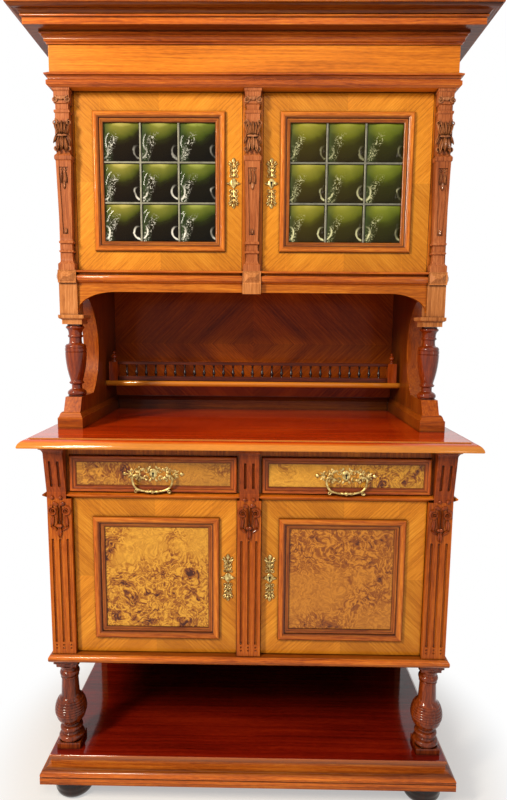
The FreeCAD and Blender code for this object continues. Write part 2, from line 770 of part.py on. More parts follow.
# Upper pilasters: square stacks from the pointed block to the abacus
stack_shares = [(0.98, 0), (0.98, 0.04), (0.90, 0.042), (0.62, 0.066), (0.46, 0.070), (0.46, 0.10)]
stack_shares += [(0.84, 0.104), (0.84, 0.112), (0.46, 0.118), (0.46, 0.148), (0.84, 0.156)]
stack_shares += [(0.84, 0.164), (0.68, 0.176), (0.80, 0.19), (0.88, 0.61), (1.0, 0.622), (0.96, 0.64)]
stack_shares += [(0.74, 0.652), (0.84, 0.664), (0.92, 0.73), (1.0, 0.80), (0.98, 0.832), (0.80, 0.84)]
stack_shares += [(0.80, 0.866), (0.90, 0.872), (0.90, 0.882), (0.70, 0.888), (0.70, 0.918)]
stack_shares += [(1.0, 0.922), (1.0, 0.968), (0.90, 0.97), (0.90, 0.986), (1.0, 0.988), (1.0, 1.0)]
stack_x = upper_half - upper_side_stile / 2
stack_half = upper_pilaster / 2
stack_height = frieze_bottom - upper_deck_top
stacks = []
for x in (-stack_x, 0, stack_x):
    stacks.append(stacked(
        stack_shares, stack_half, stack_height, x, upper_setback, upper_face, upper_deck_top
    ))
save("upper_pilasters", stacks)


# Pointed blocks below the pilasters, and the centre block of the apron
def pointed_block(x, back):
    body = box(x - block_half, x + block_half, upper_setback, back, pyramid_z, upper_deck_top)
    middle = (pyramid_z + upper_deck_top) / 2
    reach = pyramid_block / 2 - block_reach
    rings = []
    for share, depth in ((1.0, upper_setback), (point_share, upper_setback - block_reach)):
        half = reach * share
        corners = [(x - half, middle - half), (x + half, middle - half)]
        corners += [(x + half, middle + half), (x - half, middle + half)]
        points = [FreeCAD.Vector(across, y_at(depth), up) for across, up in corners]
        rings.append(Part.makePolygon(points + [points[0]]))
    return body.fuse(Part.makeLoft(rings, True, True))


blocks = [pointed_block(0, apron_front)]
blocks += [pointed_block(-stack_x, upper_face), pointed_block(stack_x, upper_face)]
blocks += [box(-block_half, block_half, upper_setback, apron_front, pyramid_z - apron_block, pyramid_z)]
save("pyramid_blocks", blocks)

# Frieze
frieze = [box(-frieze_half, frieze_half, upper_setback, upper_face, frieze_bottom, cornice_bottom)]
frieze += pair(box(upper_half, frieze_half, upper_face, case_depth, frieze_bottom, cornice_bottom))
save("frieze", frieze)

# Mouldings under and over the frieze
architrave_shares = [(0, 0), (0.12, 0), (0.65, 0.15), (0.65, 0.42), (0.30, 0.50), (0.30, 0.56, -0.4)]
architrave_shares += [(0.95, 0.76), (1.0, 0.78), (1.0, 0.86), (0.2, 1.0), (0, 1.0)]
bed_shares = [(0, 0), (0.2, 0), (0.2, 0.12), (0.45, 0.22), (0.45, 0.40, -0.35), (0.72, 0.62)]
bed_shares += [(0.72, 0.75), (1.0, 0.82), (1.0, 1.0), (0, 1.0)]
bed_bottom = cornice_bottom - bed_mould
frieze_mouldings = []
for shares, reach, height, level in (
    (architrave_shares, architrave_reach, architrave_mould, frieze_bottom),
    (bed_shares, bed_reach, bed_mould, bed_bottom),
):
    frieze_mouldings += wrap(shares, reach, height, frieze_half, upper_setback, level, case_depth, 0)
save("frieze_mouldings", frieze_mouldings)

# Cornice
cornice_shares = [(0, 0), (0.60, 0), (0.60, 0.36), (0.63, 0.36, 0.5), (0.63, 0.52)]
cornice_shares += [(0.66, 0.52, -0.35), (0.80, 0.66, 0.35), (0.95, 0.80), (1.0, 0.80), (1.0, 1.0), (0, 1.0)]
save("cornice", wrap(
    cornice_shares, cornice_reach, cornice_height, frieze_half, upper_setback, cornice_bottom, case_depth,
    board,
))

# Pivot pins of the four doors, one in the floor and one in the head over each leaf
lower_pivot = (lower_leaf_outer - pivot_inset, door_face + pivot_setback)
upper_pivot = (upper_leaf_outer - pivot_inset, upper_face + pivot_setback)
pin_length = door_gap + pivot_length - running_gap
pins = []
for pivot, foot, head in (
    (lower_pivot, lower_door_bottom, lower_door_top),
    (upper_pivot, upper_door_bottom, upper_door_top),
):
    pins += pair(pin(pivot_radius, pivot[0], pivot[1], foot - door_gap, pin_length))
    pins += pair(pin(pivot_radius, pivot[0], pivot[1], head + door_gap - pin_length, pin_length))
save("pivot_pins", pins)


# Door leaves: stiles and rails round an opening, with the pivot holes bored in the hinge stile
def leaf(x0, x1, z0, z1, face, field, rebate, pivot):
    field_x0, field_x1, field_z0, field_z1 = field
    back = face + door_thickness
    hinge = box(field_x1 - rebate, x1, face, back, z0, z1)
    for start in (z0 - overrun, z1 - pivot_length):
        hinge = hinge.cut(bore(pivot_radius + pivot_fit, pivot[0], pivot[1], start, overrun + pivot_length))
    meeting = box(x0, field_x0 + rebate, face, back, z0, z1)
    foot_rail = box(field_x0 + rebate, field_x1 - rebate, face, back, z0, field_z0 + rebate)
    head_rail = box(field_x0 + rebate, field_x1 - rebate, face, back, field_z1 - rebate, z1)
    return [hinge, meeting, foot_rail, head_rail]


# Pierced door plates, with a keyhole on the active leaves, and the lock case behind
plate_shares = [(0, -0.50), (0.16, -0.47), (0.10, -0.42), (0.34, -0.40), (0.30, -0.30), (0.50, -0.24)]
plate_shares += [(0.38, -0.10), (0.50, 0), (0.38, 0.10), (0.50, 0.24), (0.30, 0.30), (0.34, 0.40)]
plate_shares += [(0.10, 0.42), (0.16, 0.47), (0, 0.50)]
pierced_shares = [(0.24, 0.19), (-0.24, 0.19), (0.24, -0.19), (-0.24, -0.19)]


def diamond(x, z, face):
    # Cutter for a lozenge hole in a plate
    half = plate_hole / 2
    corners = [(x - half, z), (x, z - half), (x + half, z), (x, z + half)]
    return prism_y(corners, straight(corners), face - overrun, face + overrun)


def keyhole(x, z, face):
    # Cutter for a round hole with a slot below it
    round_hole = pin(keyhole_radius, x, face, z - overrun, 2 * overrun)
    slot_half = keyhole_radius / 2
    slot = box(x - slot_half, x + slot_half, face - overrun, face + overrun, z - keyhole_slot, z)
    return laid(round_hole, x, face, z, ACROSS).fuse(slot)


def door_plate(x, z, face, active):
    right = [(x + plate_width * share[0], z + plate_height * share[1]) for share in plate_shares]
    left = [(2 * x - across, up) for across, up in reversed(right[1:-1])]
    outline = right + left
    body = prism_y(outline, straight(outline), face - plate_thickness, face)
    for across, up in pierced_shares:
        body = body.cut(diamond(x + plate_width * across, z + plate_height * up, face))
    return body.cut(keyhole(x, z, face)) if active else body


def lock_case(x, top, back):
    half = lock_case_width / 2
    return box(x - half, x + half, back, back + lock_case_depth, top - lock_case_height, top)


bolection_shares = [(0, 0), (0, 0.40), (0.12, 0.90), (0.24, 1.0), (0.40, 0.95), (0.60, 0.55)]
bolection_shares += [(0.62, 0.25), (0.80, 0.20), (1.0, -0.12), (1.0, -0.30), (0.74, -0.30), (0.74, 0)]

# Lower doors
field_x0 = lower_leaf_inner + lower_stile
field_x1 = lower_leaf_outer - lower_outer_stile
field_z0 = lower_door_bottom + lower_foot_rail
field_z1 = lower_door_top - lower_head_rail
field = (field_x0, field_x1, field_z0, field_z1)
lower_frame = leaf(
    lower_leaf_inner, lower_leaf_outer, lower_door_bottom, lower_door_top, door_face, field, lower_rebate,
    lower_pivot,
)
lower_mould = framed(bolection_shares, lower_mould_width, lower_mould_height, *field, door_face)
panel_front = door_face + lower_mould_height * lip_share
lower_panel = box(
    field_x0 + lower_rebate, field_x1 - lower_rebate, panel_front, panel_front + panel_thickness,
    field_z0 + lower_rebate, field_z1 - lower_rebate,
)
plate_x = (lower_leaf_inner + field_x0) / 2
plate_z = lower_door_bottom + lower_door_height * plate_height_share
lock_top = plate_z + lock_case_height / 2
save("lower_door_right_frame", lower_frame)
save("lower_door_left_frame", [mirrored(one) for one in lower_frame])
save("lower_door_right_moulding", lower_mould)
save("lower_door_left_moulding", [mirrored(one) for one in lower_mould])
save("lower_door_right_panel", [lower_panel])
save("lower_door_left_panel", [mirrored(lower_panel)])
active_plate = door_plate(plate_x, plate_z, door_face, True)
save("lower_door_right_lock", [active_plate, lock_case(plate_x, lock_top, door_back)])
save("lower_door_left_plate", [mirrored(door_plate(plate_x, plate_z, door_face, False))])

# Frames of the upper doors
field_x0 = upper_leaf_inner + upper_stile
field_x1 = upper_leaf_outer - upper_outer_stile
field_z0 = upper_door_bottom + upper_foot_rail
field_z1 = upper_door_top - upper_head_rail
field = (field_x0, field_x1, field_z0, field_z1)
upper_frame = leaf(
    upper_leaf_inner, upper_leaf_outer, upper_door_bottom, upper_door_top, upper_face, field, upper_rebate,
    upper_pivot,
)
upper_mould = framed(bolection_shares, upper_mould_width, upper_mould_height, *field, upper_face)

# Leaded glazing: bulged panes in a grid of cames, held by beads from behind
glass_front = upper_face + upper_mould_height * lip_share
glass_back = glass_front + came_thickness
pane_front = glass_back - glass_thickness
sight_x0 = field_x0 + upper_rebate
sight_x1 = field_x1 - upper_rebate
sight_z0 = field_z0 + upper_rebate
sight_z1 = field_z1 - upper_rebate
pane_width = (sight_x1 - sight_x0 - (pane_count + 1) * came_width) / pane_count
pane_height = (sight_z1 - sight_z0 - (pane_count + 1) * came_width) / pane_count
dome_shares = [(0.96, 0), (0.62, 0.72), (0.24, 1.0)]
cames = box(sight_x0, sight_x1, glass_front, glass_back, sight_z0, sight_z1)


def pane(x0, z0):
    body = box(x0, x0 + pane_width, pane_front, glass_back, z0, z0 + pane_height)
    middle_x = x0 + pane_width / 2
    middle_z = z0 + pane_height / 2
    rings = []
    for share, lift in dome_shares:
        depth = y_at(pane_front - glass_bulge * lift)
        half_x = pane_width / 2 * share
        half_z = pane_height / 2 * share
        corners = [(-half_x, -half_z), (half_x, -half_z), (half_x, half_z), (-half_x, half_z)]
        points = [FreeCAD.Vector(middle_x + across, depth, middle_z + up) for across, up in corners]
        rings.append(Part.makePolygon(points + [points[0]]))
    return body.fuse(Part.makeLoft(rings, True, True))


panes = []
for column in range(pane_count):
    for row in range(pane_count):
        x0 = sight_x0 + came_width + column * (pane_width + came_width)
        z0 = sight_z0 + came_width + row * (pane_height + came_width)
        light = box(x0, x0 + pane_width, glass_front - overrun, glass_front + overrun, z0, z0 + pane_height)
        cames = cames.cut(light)
        panes.append(pane(x0, z0))
bead_x0 = sight_x0 + bead_width
bead_x1 = sight_x1 - bead_width
beads = [box(sight_x0, sight_x1, glass_back, upper_back, sight_z0, sight_z0 + bead_width)]
beads += [box(sight_x0, sight_x1, glass_back, upper_back, sight_z1 - bead_width, sight_z1)]
for x0, x1 in ((sight_x0, bead_x0), (bead_x1, sight_x1)):
    beads += [box(x0, x1, glass_back, upper_back, sight_z0 + bead_width, sight_z1 - bead_width)]
for side, turn in (("right", lambda shape: shape), ("left", mirrored)):
    save("upper_door_" + side + "_frame", [turn(one) for one in upper_frame + beads])
    save("upper_door_" + side + "_moulding", [turn(one) for one in upper_mould])
    save("upper_door_" + side + "_cames", [turn(cames)])
    save("upper_door_" + side + "_glass", [turn(one) for one in panes])
plate_x = (upper_leaf_inner + field_x0) / 2
plate_z = upper_door_bottom + upper_door_height * plate_height_share
lock_top = plate_z + lock_case_height / 2
active_plate = door_plate(plate_x, plate_z, upper_face, True)
save("upper_door_right_lock", [active_plate, lock_case(plate_x, lock_top, upper_back)])
save("upper_door_left_plate", [mirrored(door_plate(plate_x, plate_z, upper_face, False))])

# Drawer front and its mitred moulding
drawer_x0 = half_stile + leaf_gap
drawer_x1 = drawer_stile_inner - leaf_gap
drawer_mid = (drawer_x0 + drawer_x1) / 2
box_front = door_face + drawer_front
front_board = box(drawer_x0, drawer_x1, door_face, box_front, drawer_bottom_z, drawer_top_z)
drawer_shares = [(0, 0), (0, 0.7), (0.15, 1.0), (0.4, 0.95), (0.8, 0.4), (1.0, 0.25), (1.0, 0)]
drawer_mould = framed(
    drawer_shares, drawer_mould_width, drawer_mould_height, drawer_x0, drawer_x1, drawer_bottom_z,
    drawer_top_z, door_face,
)

# Drawer box: two sides, a rear board and a floor
box_back = box_front + drawer_depth
box_top = drawer_top_z - leaf_gap
box_floor = drawer_bottom_z + drawer_bottom
inner_x0 = drawer_x0 + drawer_side
inner_x1 = drawer_x1 - drawer_side
box_boards = [box(drawer_x0, inner_x0, box_front, box_back, drawer_bottom_z, box_top)]
box_boards += [box(inner_x1, drawer_x1, box_front, box_back, drawer_bottom_z, box_top)]
box_boards += [box(inner_x0, inner_x1, box_back - drawer_side, box_back, box_floor, box_top)]
box_boards += [box(inner_x0, inner_x1, box_front, box_back, drawer_bottom_z, box_floor)]

# Drawer pulls: a pierced backplate with a keyhole, two ears and the lock case behind
pull_z = (drawer_bottom_z + drawer_top_z) / 2
pull_shares = [(0.50, 0), (0.44, 0.16), (0.40, 0.14), (0.36, 0.36), (0.26, 0.34), (0.20, 0.50), (0.08, 0.40)]
pull_shares += [(0, 0.46)]
pull_hole_shares = [(0.36, 0), (0.16, 0.22), (0.16, -0.22), (-0.16, 0.22), (-0.16, -0.22), (-0.36, 0)]
right_top = [(pull_width * share[0], pull_height * share[1]) for share in pull_shares]
upper_line = right_top + [(-across, up) for across, up in reversed(right_top[:-1])]
lower_line = [(across, -up) for across, up in reversed(upper_line[1:-1])]
outline = [(drawer_mid + across, pull_z + up) for across, up in upper_line + lower_line]
pull = prism_y(outline, straight(outline), door_face - plate_thickness, door_face)
for across, up in pull_hole_shares:
    pull = pull.cut(diamond(drawer_mid + pull_width * across, pull_z + pull_height * up, door_face))
pull = pull.cut(keyhole(drawer_mid, pull_z, door_face))
bail_d = door_face - bail_setback
ears = []
for side in (-1, 1):
    x = drawer_mid + side * ear_pitch / 2
    ear = box(
        x - ear_half, x + ear_half, bail_d - ear_half, door_face - plate_thickness,
        pull_z - ear_half, pull_z + ear_half,
    )
    eye_hole = bore(bail_pin + pivot_fit, x, bail_d, pull_z - overrun, 2 * overrun)
    ears.append(ear.cut(laid(eye_hole, x, bail_d, pull_z, BACK)))
pull_pieces = [pull, lock_case(drawer_mid, box_top, box_front)] + ears

# Swinging bail: a drooping bar with a turned grip, on two pins in the ears
half_bar = bail_bar / 2
outer = bail_width / 2
inner = outer - bail_bar
eye = ear_pitch / 2 + ear_half + running_gap
shoulder = bail_drop * bail_shoulder_share
elbow = outer * bail_elbow_share
bar = [(eye, half_bar), (outer - half_bar, half_bar), (outer, 0), (outer, -shoulder), (elbow, -bail_drop)]
bar += [(-across, up) for across, up in reversed(bar)]
under = [(-eye, -half_bar), (-inner, -half_bar), (-inner, half_bar - shoulder)]
under += [(half_bar - elbow, bail_bar - bail_drop)]
bar += under + [(-across, up) for across, up in reversed(under)]
outer_bends = [0, 0, 0, -bail_bend_share, 0, -bail_bend_share, 0, 0, 0, 0]
inner_bends = [0, 0, bail_bend_share, 0, bail_bend_share, 0, 0, 0]
bar = [(drawer_mid + across, pull_z + up) for across, up in bar]
bail = prism_y(bar, outer_bends + inner_bends, bail_d - half_bar, bail_d + half_bar)
eye_pin = 2 * ear_half
eye_pin_x = eye + half_bar - ear_half
for x in (drawer_mid - eye_pin_x, drawer_mid + eye_pin_x):
    upright_pin = pin(bail_pin, x, bail_d, pull_z - ear_half, eye_pin)
    bail = bail.fuse(laid(upright_pin, x, bail_d, pull_z, BACK))
knob_z = pull_z - bail_drop + half_bar
knob_shares = [(0.65, 0), (1.0, 0.5), (0.65, 1.0)]
knob = facetted(
    knob_shares, knob_radius, knob_length, drawer_mid, bail_d, knob_z - knob_length / 2, finial_sides
)
bail = bail.fuse(laid(knob, drawer_mid, bail_d, knob_z, BACK))

for side, turn in (("right", lambda shape: shape), ("left", mirrored)):
    save("drawer_" + side + "_front", [turn(front_board)] + [turn(one) for one in drawer_mould])
    save("drawer_" + side + "_box", [turn(one) for one in box_boards])
    save("drawer_" + side + "_pull", [turn(one) for one in pull_pieces])
    save("drawer_" + side + "_bail", [turn(bail)])
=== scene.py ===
import math

import bmesh
import bpy
from mathutils import Matrix, Vector


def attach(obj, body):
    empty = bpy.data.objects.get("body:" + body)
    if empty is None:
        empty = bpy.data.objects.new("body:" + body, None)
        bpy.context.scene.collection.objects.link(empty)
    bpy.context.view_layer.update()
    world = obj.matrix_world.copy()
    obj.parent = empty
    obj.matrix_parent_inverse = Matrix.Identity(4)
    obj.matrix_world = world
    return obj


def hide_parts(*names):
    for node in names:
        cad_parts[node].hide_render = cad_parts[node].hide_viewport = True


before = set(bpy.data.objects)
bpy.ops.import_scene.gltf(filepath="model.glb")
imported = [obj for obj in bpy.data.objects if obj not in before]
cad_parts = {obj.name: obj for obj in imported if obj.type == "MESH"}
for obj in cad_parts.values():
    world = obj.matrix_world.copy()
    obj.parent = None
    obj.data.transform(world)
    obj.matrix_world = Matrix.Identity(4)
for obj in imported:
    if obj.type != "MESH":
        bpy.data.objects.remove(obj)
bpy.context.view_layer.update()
bpy.ops.object.select_all(action="DESELECT")


# The room: a white paper floor that fades into a white background, so that only the
# buffet's own shadow shows on it. The camera stands at eye height, under two metres in
# front, and looks slightly down. Window lamps stand left and right, the left far stronger.
def tone(code):
    """An sRGB hex colour as the linear colour that a shader socket takes."""
    channels = [int(code[i : i + 2], 16) / 255 for i in (1, 3, 5)]
    return [c / 12.92 if c <= 0.04045 else ((c + 0.055) / 1.055) ** 2.4 for c in channels] + [1.0]


def add(tree, kind, inputs=None, **settings):
    """Adds a node with its settings. An input takes a value, or a link from a socket or
    from a node's first output."""
    made = tree.nodes.new("ShaderNode" + kind)
    for name, setting in settings.items():
        setattr(made, name, setting)
    for socket, source in (inputs or {}).items():
        if isinstance(source, bpy.types.Node):
            source = source.outputs[0]
        if isinstance(source, bpy.types.NodeSocket):
            tree.links.new(source, made.inputs[socket])
        else:
            made.inputs[socket].default_value = source
    return made


def blank(name):
    """A new material with an empty node tree, and that tree."""
    material = bpy.data.materials.new(name)
    material.use_nodes = True
    material.node_tree.nodes.clear()
    return material, material.node_tree


def looked_at(tree):
    """1 where the camera, a reflection or a pane looks, 0 where light is gathered."""
    rays = add(tree, "LightPath").outputs
    looks = add(tree, "Math", {0: rays["Is Camera Ray"], 1: rays["Is Glossy Ray"]},
                operation="MAXIMUM")
    return add(tree, "Math", {0: looks, 1: rays["Is Transmission Ray"]}, operation="MAXIMUM")


scene = bpy.context.scene
scene.view_settings.view_transform = "Standard"
eye = Vector((0.0302, -1.8315, 1.441))
pitch, yaw, roll = math.radians(7.419), math.radians(-0.738), math.radians(0.445)
ahead = Vector((math.sin(yaw) * math.cos(pitch), math.cos(yaw) * math.cos(pitch),
                -math.sin(pitch)))
level = Vector((math.cos(yaw), -math.sin(yaw), 0.0))
upright = level.cross(ahead)
right = math.cos(roll) * level + math.sin(roll) * upright
up = -math.sin(roll) * level + math.cos(roll) * upright
film_width, photo_pixels, lens_pixels = 36.0, 507, 568.7
bpy.ops.object.camera_add()
camera = bpy.context.object
camera.name = "studio_camera"
camera.matrix_world = Matrix.Translation(eye) @ Matrix((right, up, -ahead)).transposed().to_4x4()
camera.data.sensor_fit = "HORIZONTAL"
camera.data.sensor_width = film_width
camera.data.lens = film_width * lens_pixels / photo_pixels
scene.camera = camera

# White background paper: matt, with a faint mottle of 11 mm, as real fibres are too fine to
# show. Where it is looked at, it goes from paper with a shadow on it to plain white within
# a metre of the buffet's middle.
bpy.ops.mesh.primitive_plane_add(size=24, location=(0, 0, -0.0005))
bpy.ops.object.transform_apply(location=True, rotation=True, scale=True)
floor = bpy.context.object
floor.name = "studio_floor"
paper, tree = blank("white_paper_floor")
place = add(tree, "TexCoord").outputs["Object"]
away = add(tree, "VectorMath", {0: place}, operation="LENGTH").outputs["Value"]
fade = add(tree, "MapRange", {"Value": away, "From Min": 0.66, "From Max": 0.96, "To Min": 0.45},
           interpolation_type="SMOOTHSTEP")
amount = add(tree, "Math", {0: looked_at(tree), 1: fade}, operation="MULTIPLY")
fibres = add(tree, "TexNoise", {"Vector": place, "Scale": 90.0, "Detail": 2.0})
shade = add(tree, "Mix", {"Factor": fibres, "A": tone("#F4F2EF"), "B": tone("#F8F7F5")},
            data_type="RGBA")
matt = add(tree, "BsdfDiffuse", {"Color": shade.outputs["Result"]})
glow = add(tree, "Emission", {"Color": (1, 1, 1, 1), "Strength": 1.0})
blend = add(tree, "MixShader", {0: amount, 1: matt, 2: glow})
add(tree, "OutputMaterial", {"Surface": blend})
floor.data.materials.append(paper)

world = bpy.data.worlds.new("studio_air")
scene.world = world
world.use_nodes = True
tree = world.node_tree
tree.nodes.clear()
soft = add(tree, "Background", {"Color": tone("#FFF4E6"), "Strength": 0.14})
white = add(tree, "Background", {"Color": (1, 1, 1, 1), "Strength": 1.0})
blend = add(tree, "MixShader", {0: looked_at(tree), 1: soft, 2: white})
add(tree, "OutputWorld", {"Surface": blend})

# The front lamp only fills the shadows, and shows in no reflection.
for name, spot, aim, size, power, tint in (
    ("window_lamp", (-2.1, -2.2, 2.8), (0, 0, 1.1), (0.45, 1.2), 112, "#FFF3E0"),
    ("far_window_lamp", (2.2, -2.2, 1.7), (0, 0, 1.0), (0.2, 1.2), 4, "#FFEFDC"),
    ("front_lamp", (0.2, -2.5, 3.2), (0, 0, 1.0), (1.2, 0.9), 34, "#FFF6EA"),
):
    bpy.ops.object.light_add(type="AREA", location=spot)
    lamp = bpy.context.object
    lamp.name = name
    lamp.data.shape = "RECTANGLE"
    lamp.data.size, lamp.data.size_y = size
    lamp.data.energy = power
    lamp.data.color = tone(tint)[:3]
    lamp.visible_glossy = name != "front_lamp"
    lamp.rotation_euler = (Vector(aim) - Vector(spot)).to_track_quat("-Z", "Y").to_euler()


# Bun feet: four squat walnut balls turned on the lathe, dowelled under the plinth's
# corners and stained dark. Flat below, where they rest on the floor.
def graded(ramp, marks):
    """Fills a colour ramp with (place, colour) marks, and gives its colour."""
    stops = ramp.color_ramp.elements
    for stop, (place, colour) in ((stops[0], marks[0]), (stops[1], marks[-1])):
        stop.position, stop.color = place, colour
    for place, colour in marks[1:-1]:
        stops.new(place).color = colour
    return ramp.outputs["Color"]


def timber(name, light, mid, dark, across=(1, 1, 0), stripe=6, length=260, fold=None,
           centre=(0, 0, 0), mitre=0.0, polish=0.32, coat=0.15, contrast=1.0, wave=0.03,
           crease_shade_and_edge_light=0.0, depth_shade=0.0, reach=0.45, shade_bands=None, rim=None):
    """Walnut whose stripes are `stripe` mm wide and `length` mm long. `across` marks the
    axes that lie across the grain. `fold` lays it in parts about `centre`: "diamond" and
    "star" in four mirrored quarters, "frame" in four strips mitred at the corners.
    `crease_shade_and_edge_light` paints shade into the quirks and makes the edges paler, partly as
    wear and partly as a painted highlight; `depth_shade` paints shade on what lies within `reach`
    metres of other wood.
    `shade_bands` holds where a moulding starts, its outer edge for a frame and its foot for a
    level run, and (mm, shade) marks across it: painted shade in the quirks and a painted highlight
    on the rounds. Every face that does not face up takes the `rim` colour."""
    material, tree = blank(name)
    place = add(tree, "TexCoord").outputs["Object"]
    source = add(tree, "Mapping", {"Vector": place, "Location": [-c for c in centre]})
    leaf = None
    if fold:
        axes = add(tree, "SeparateXYZ", {"Vector": source}).outputs
        sides = add(tree, "Math", {0: axes["X"]}, operation="ABSOLUTE")
        heights = add(tree, "Math", {0: axes["Z"]}, operation="ABSOLUTE")
        total = add(tree, "Math", {0: sides, 1: heights}, operation="ADD")
        gap = add(tree, "Math", {0: sides, 1: heights}, operation="SUBTRACT")
        over, run = (total, gap) if fold == "diamond" else (gap, total)
        across = (1, 1, 0)
        if fold == "frame":
            leaf = add(tree, "Math", {0: gap, 1: mitre}, operation="GREATER_THAN")
            over, run = [add(tree, "Mix", {"Factor": leaf, "A": axes[rail], "B": axes[stile]},
                             data_type="FLOAT") for rail, stile in ("ZX", "XZ")]
        else:
            turn = add(tree, "Math", {0: axes["X"], 1: axes["Z"]}, operation="MULTIPLY")
            leaf = add(tree, "Math", {0: turn, 1: 0.0}, operation="GREATER_THAN")
        source = add(tree, "CombineXYZ", {"X": over, "Y": axes["Y"], "Z": run})
    wander = add(tree, "TexNoise", {"Vector": source, "Scale": 3.0, "Detail": 2.0})
    shift = add(tree, "VectorMath", {0: wander.outputs["Color"], "Scale": wave}, operation="SCALE")
    bent = add(tree, "VectorMath", {0: source, 1: shift}, operation="ADD")
    # Stripes, pores and clouds, as (width, length) in mm. Walnut's pores are 0.2 mm wide,
    # too fine to show, so they are drawn as flecks of 2.6 mm.
    figures = []
    for wide, long, detail in ((stripe, length, 3.0), (2.6, 26, 2.0), (90, 400, 1.0)):
        laid = add(tree, "Mapping", {"Vector": bent,
                                     "Scale": [1000 / (wide if a else long) for a in across]})
        figures.append(add(tree, "TexNoise", {"Vector": laid, "Scale": 1.0, "Detail": detail,
                                              "Roughness": 0.6}))
    stripes, pores, clouds = figures
    figure = add(tree, "Mix", {"Factor": 0.38, "A": stripes, "B": pores}, data_type="FLOAT")
    figure = add(tree, "Mix", {"Factor": 0.3, "A": figure, "B": clouds}, data_type="FLOAT")
    half = 0.15 / contrast
    colour = graded(add(tree, "ValToRGB", {"Fac": figure}),
                    [(0.5 - half, tone(dark)), (0.5, tone(mid)), (0.5 + half, tone(light))])
    # Every face that does not face up takes the rim colour, varied with the grain.
    if rim:
        facing = add(tree, "NewGeometry").outputs["Normal"]
        upward = add(tree, "SeparateXYZ", {"Vector": facing}).outputs["Z"]
        flat = add(tree, "MapRange", {"Value": upward, "From Min": 0.75, "From Max": 0.97})
        bare = add(tree, "MapRange", {"Value": figure, "From Min": 0.3, "From Max": 0.7,
                                      "To Min": 0.6, "To Max": 1.15})
        rim_colour = add(tree, "VectorMath", {0: tone(rim)[:3], "Scale": bare}, operation="SCALE")
        colour = add(tree, "Mix", {"Factor": flat, "A": rim_colour, "B": colour},
                     data_type="RGBA").outputs["Result"]
    shades = []
    if leaf:
        shades.append(add(tree, "MapRange", {"Value": leaf, "To Min": 0.84, "To Max": 1.0}))
    # Paler edges, partly wear and partly a painted highlight: up to 1.45 times paler where the
    # bevel normal leaves the face's.
    if crease_shade_and_edge_light:
        facing = add(tree, "NewGeometry").outputs["Normal"]
        eased = add(tree, "Bevel", {"Radius": 0.0018}, samples=4)
        bend = add(tree, "VectorMath", {0: eased, 1: facing}, operation="DOT_PRODUCT")
        shades.append(add(tree, "MapRange", {
            "Value": bend.outputs["Value"], "From Min": 0.995, "From Max": 0.86,
            "To Min": 1.0, "To Max": 1.45}))
    # Painted light and shade across a moulding: dark marks in its quirks, light ones on its
    # rounds.
    if shade_bands:
        start, marks = shade_bands
        width = marks[-1][0]
        if fold:
            raised = add(tree, "Math", {0: heights, 1: mitre}, operation="ADD")
            measured = add(tree, "Math", {0: sides, 1: raised}, operation="MAXIMUM")
            end = start - width / 1000
        else:
            measured = add(tree, "SeparateXYZ", {"Vector": place}).outputs["Z"]
            end = start + width / 1000
        share = add(tree, "MapRange", {"Value": measured, "From Min": start, "From Max": end})
        section = graded(add(tree, "ValToRGB", {"Fac": share}),
                         [(spot / width, [shade] * 3 + [1]) for spot, shade in marks])
        shades.append(add(tree, "Math", {0: section, 1: 1.2}, operation="MULTIPLY"))
    # Painted shade from ambient occlusion: darker in quirks within 10 mm, and near other wood
    # within reach.
    for near, loss, least, most in ((0.010, crease_shade_and_edge_light, 0.35, 0.85), (reach, depth_shade, 0.15, 0.75)):
        if loss:
            crease = add(tree, "AmbientOcclusion", {"Distance": near}, samples=6)
            shades.append(add(tree, "MapRange", {
                "Value": crease.outputs["AO"], "From Min": least, "From Max": most,
                "To Min": 1 - loss, "To Max": 1.0}))
    for shade in shades:
        colour = add(tree, "VectorMath", {0: colour, "Scale": shade}, operation="SCALE")
    relief = add(tree, "Bump", {"Height": pores, "Strength": 0.1, "Distance": 0.0005})
    surface = add(tree, "BsdfPrincipled", {
        "Base Color": colour, "Normal": relief, "Roughness": polish, "Coat Weight": coat,
        "Coat Roughness": 0.08, "Specular IOR Level": 0.12})
    add(tree, "OutputMaterial", {"Surface": surface})
    return material


def dress(material, *names, edge=0.0):
    """Gives CAD nodes their finish, and eases their edges by `edge` metres."""
    for name in names:
        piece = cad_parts[name]
        piece.material_slots[0].material = material
        if edge:
            weld = piece.modifiers.new("joined_faces", "WELD")
            weld.merge_threshold = 0.00001
            bevel = piece.modifiers.new("eased_edges", "BEVEL")
            bevel.limit_method = "ANGLE"
            bevel.angle_limit = math.radians(32)
            bevel.width = edge
            bevel.segments = 2


def rounds(points, steps=7):
    """An outline in mm with its rounds drawn out: a third number bows the run up to its
    point outwards, as a share of a half circle, or inwards where it is negative."""
    line = [points[0][:2]]
    for (a0, b0, *_), (a1, b1, *bow) in zip(points, points[1:]):
        if bow:
            half = 2 * math.atan(bow[0])
            for i in range(1, steps):
                turn = (2 * i / steps - 1) * half
                along = 0.5 + 0.5 * math.sin(turn) / math.sin(half)
                lift = 0.5 * (math.cos(turn) - math.cos(half)) / math.sin(half)
                line.append((a0 + (a1 - a0) * along + (b1 - b0) * lift,
                             b0 + (b1 - b0) * along - (a1 - a0) * lift))
        line.append((a1, b1))
    return line


def alone(piece):
    """Selects one piece and nothing else."""
    bpy.ops.object.select_all(action="DESELECT")
    piece.select_set(True)
    bpy.context.view_layer.objects.active = piece


def edit(piece, selection="DESELECT"):
    """Opens a piece's mesh for editing, with nothing of it selected, or all."""
    alone(piece)
    bpy.ops.object.mode_set(mode="EDIT")
    bpy.ops.mesh.select_all(action=selection)


def closed():
    """Leaves edit mode and gives the piece."""
    bpy.ops.object.mode_set(mode="OBJECT")
    return bpy.context.object


def applied():
    """Puts the selected piece's place, turn and size into its mesh."""
    bpy.ops.object.transform_apply(location=True, rotation=True, scale=True)
    return bpy.context.object


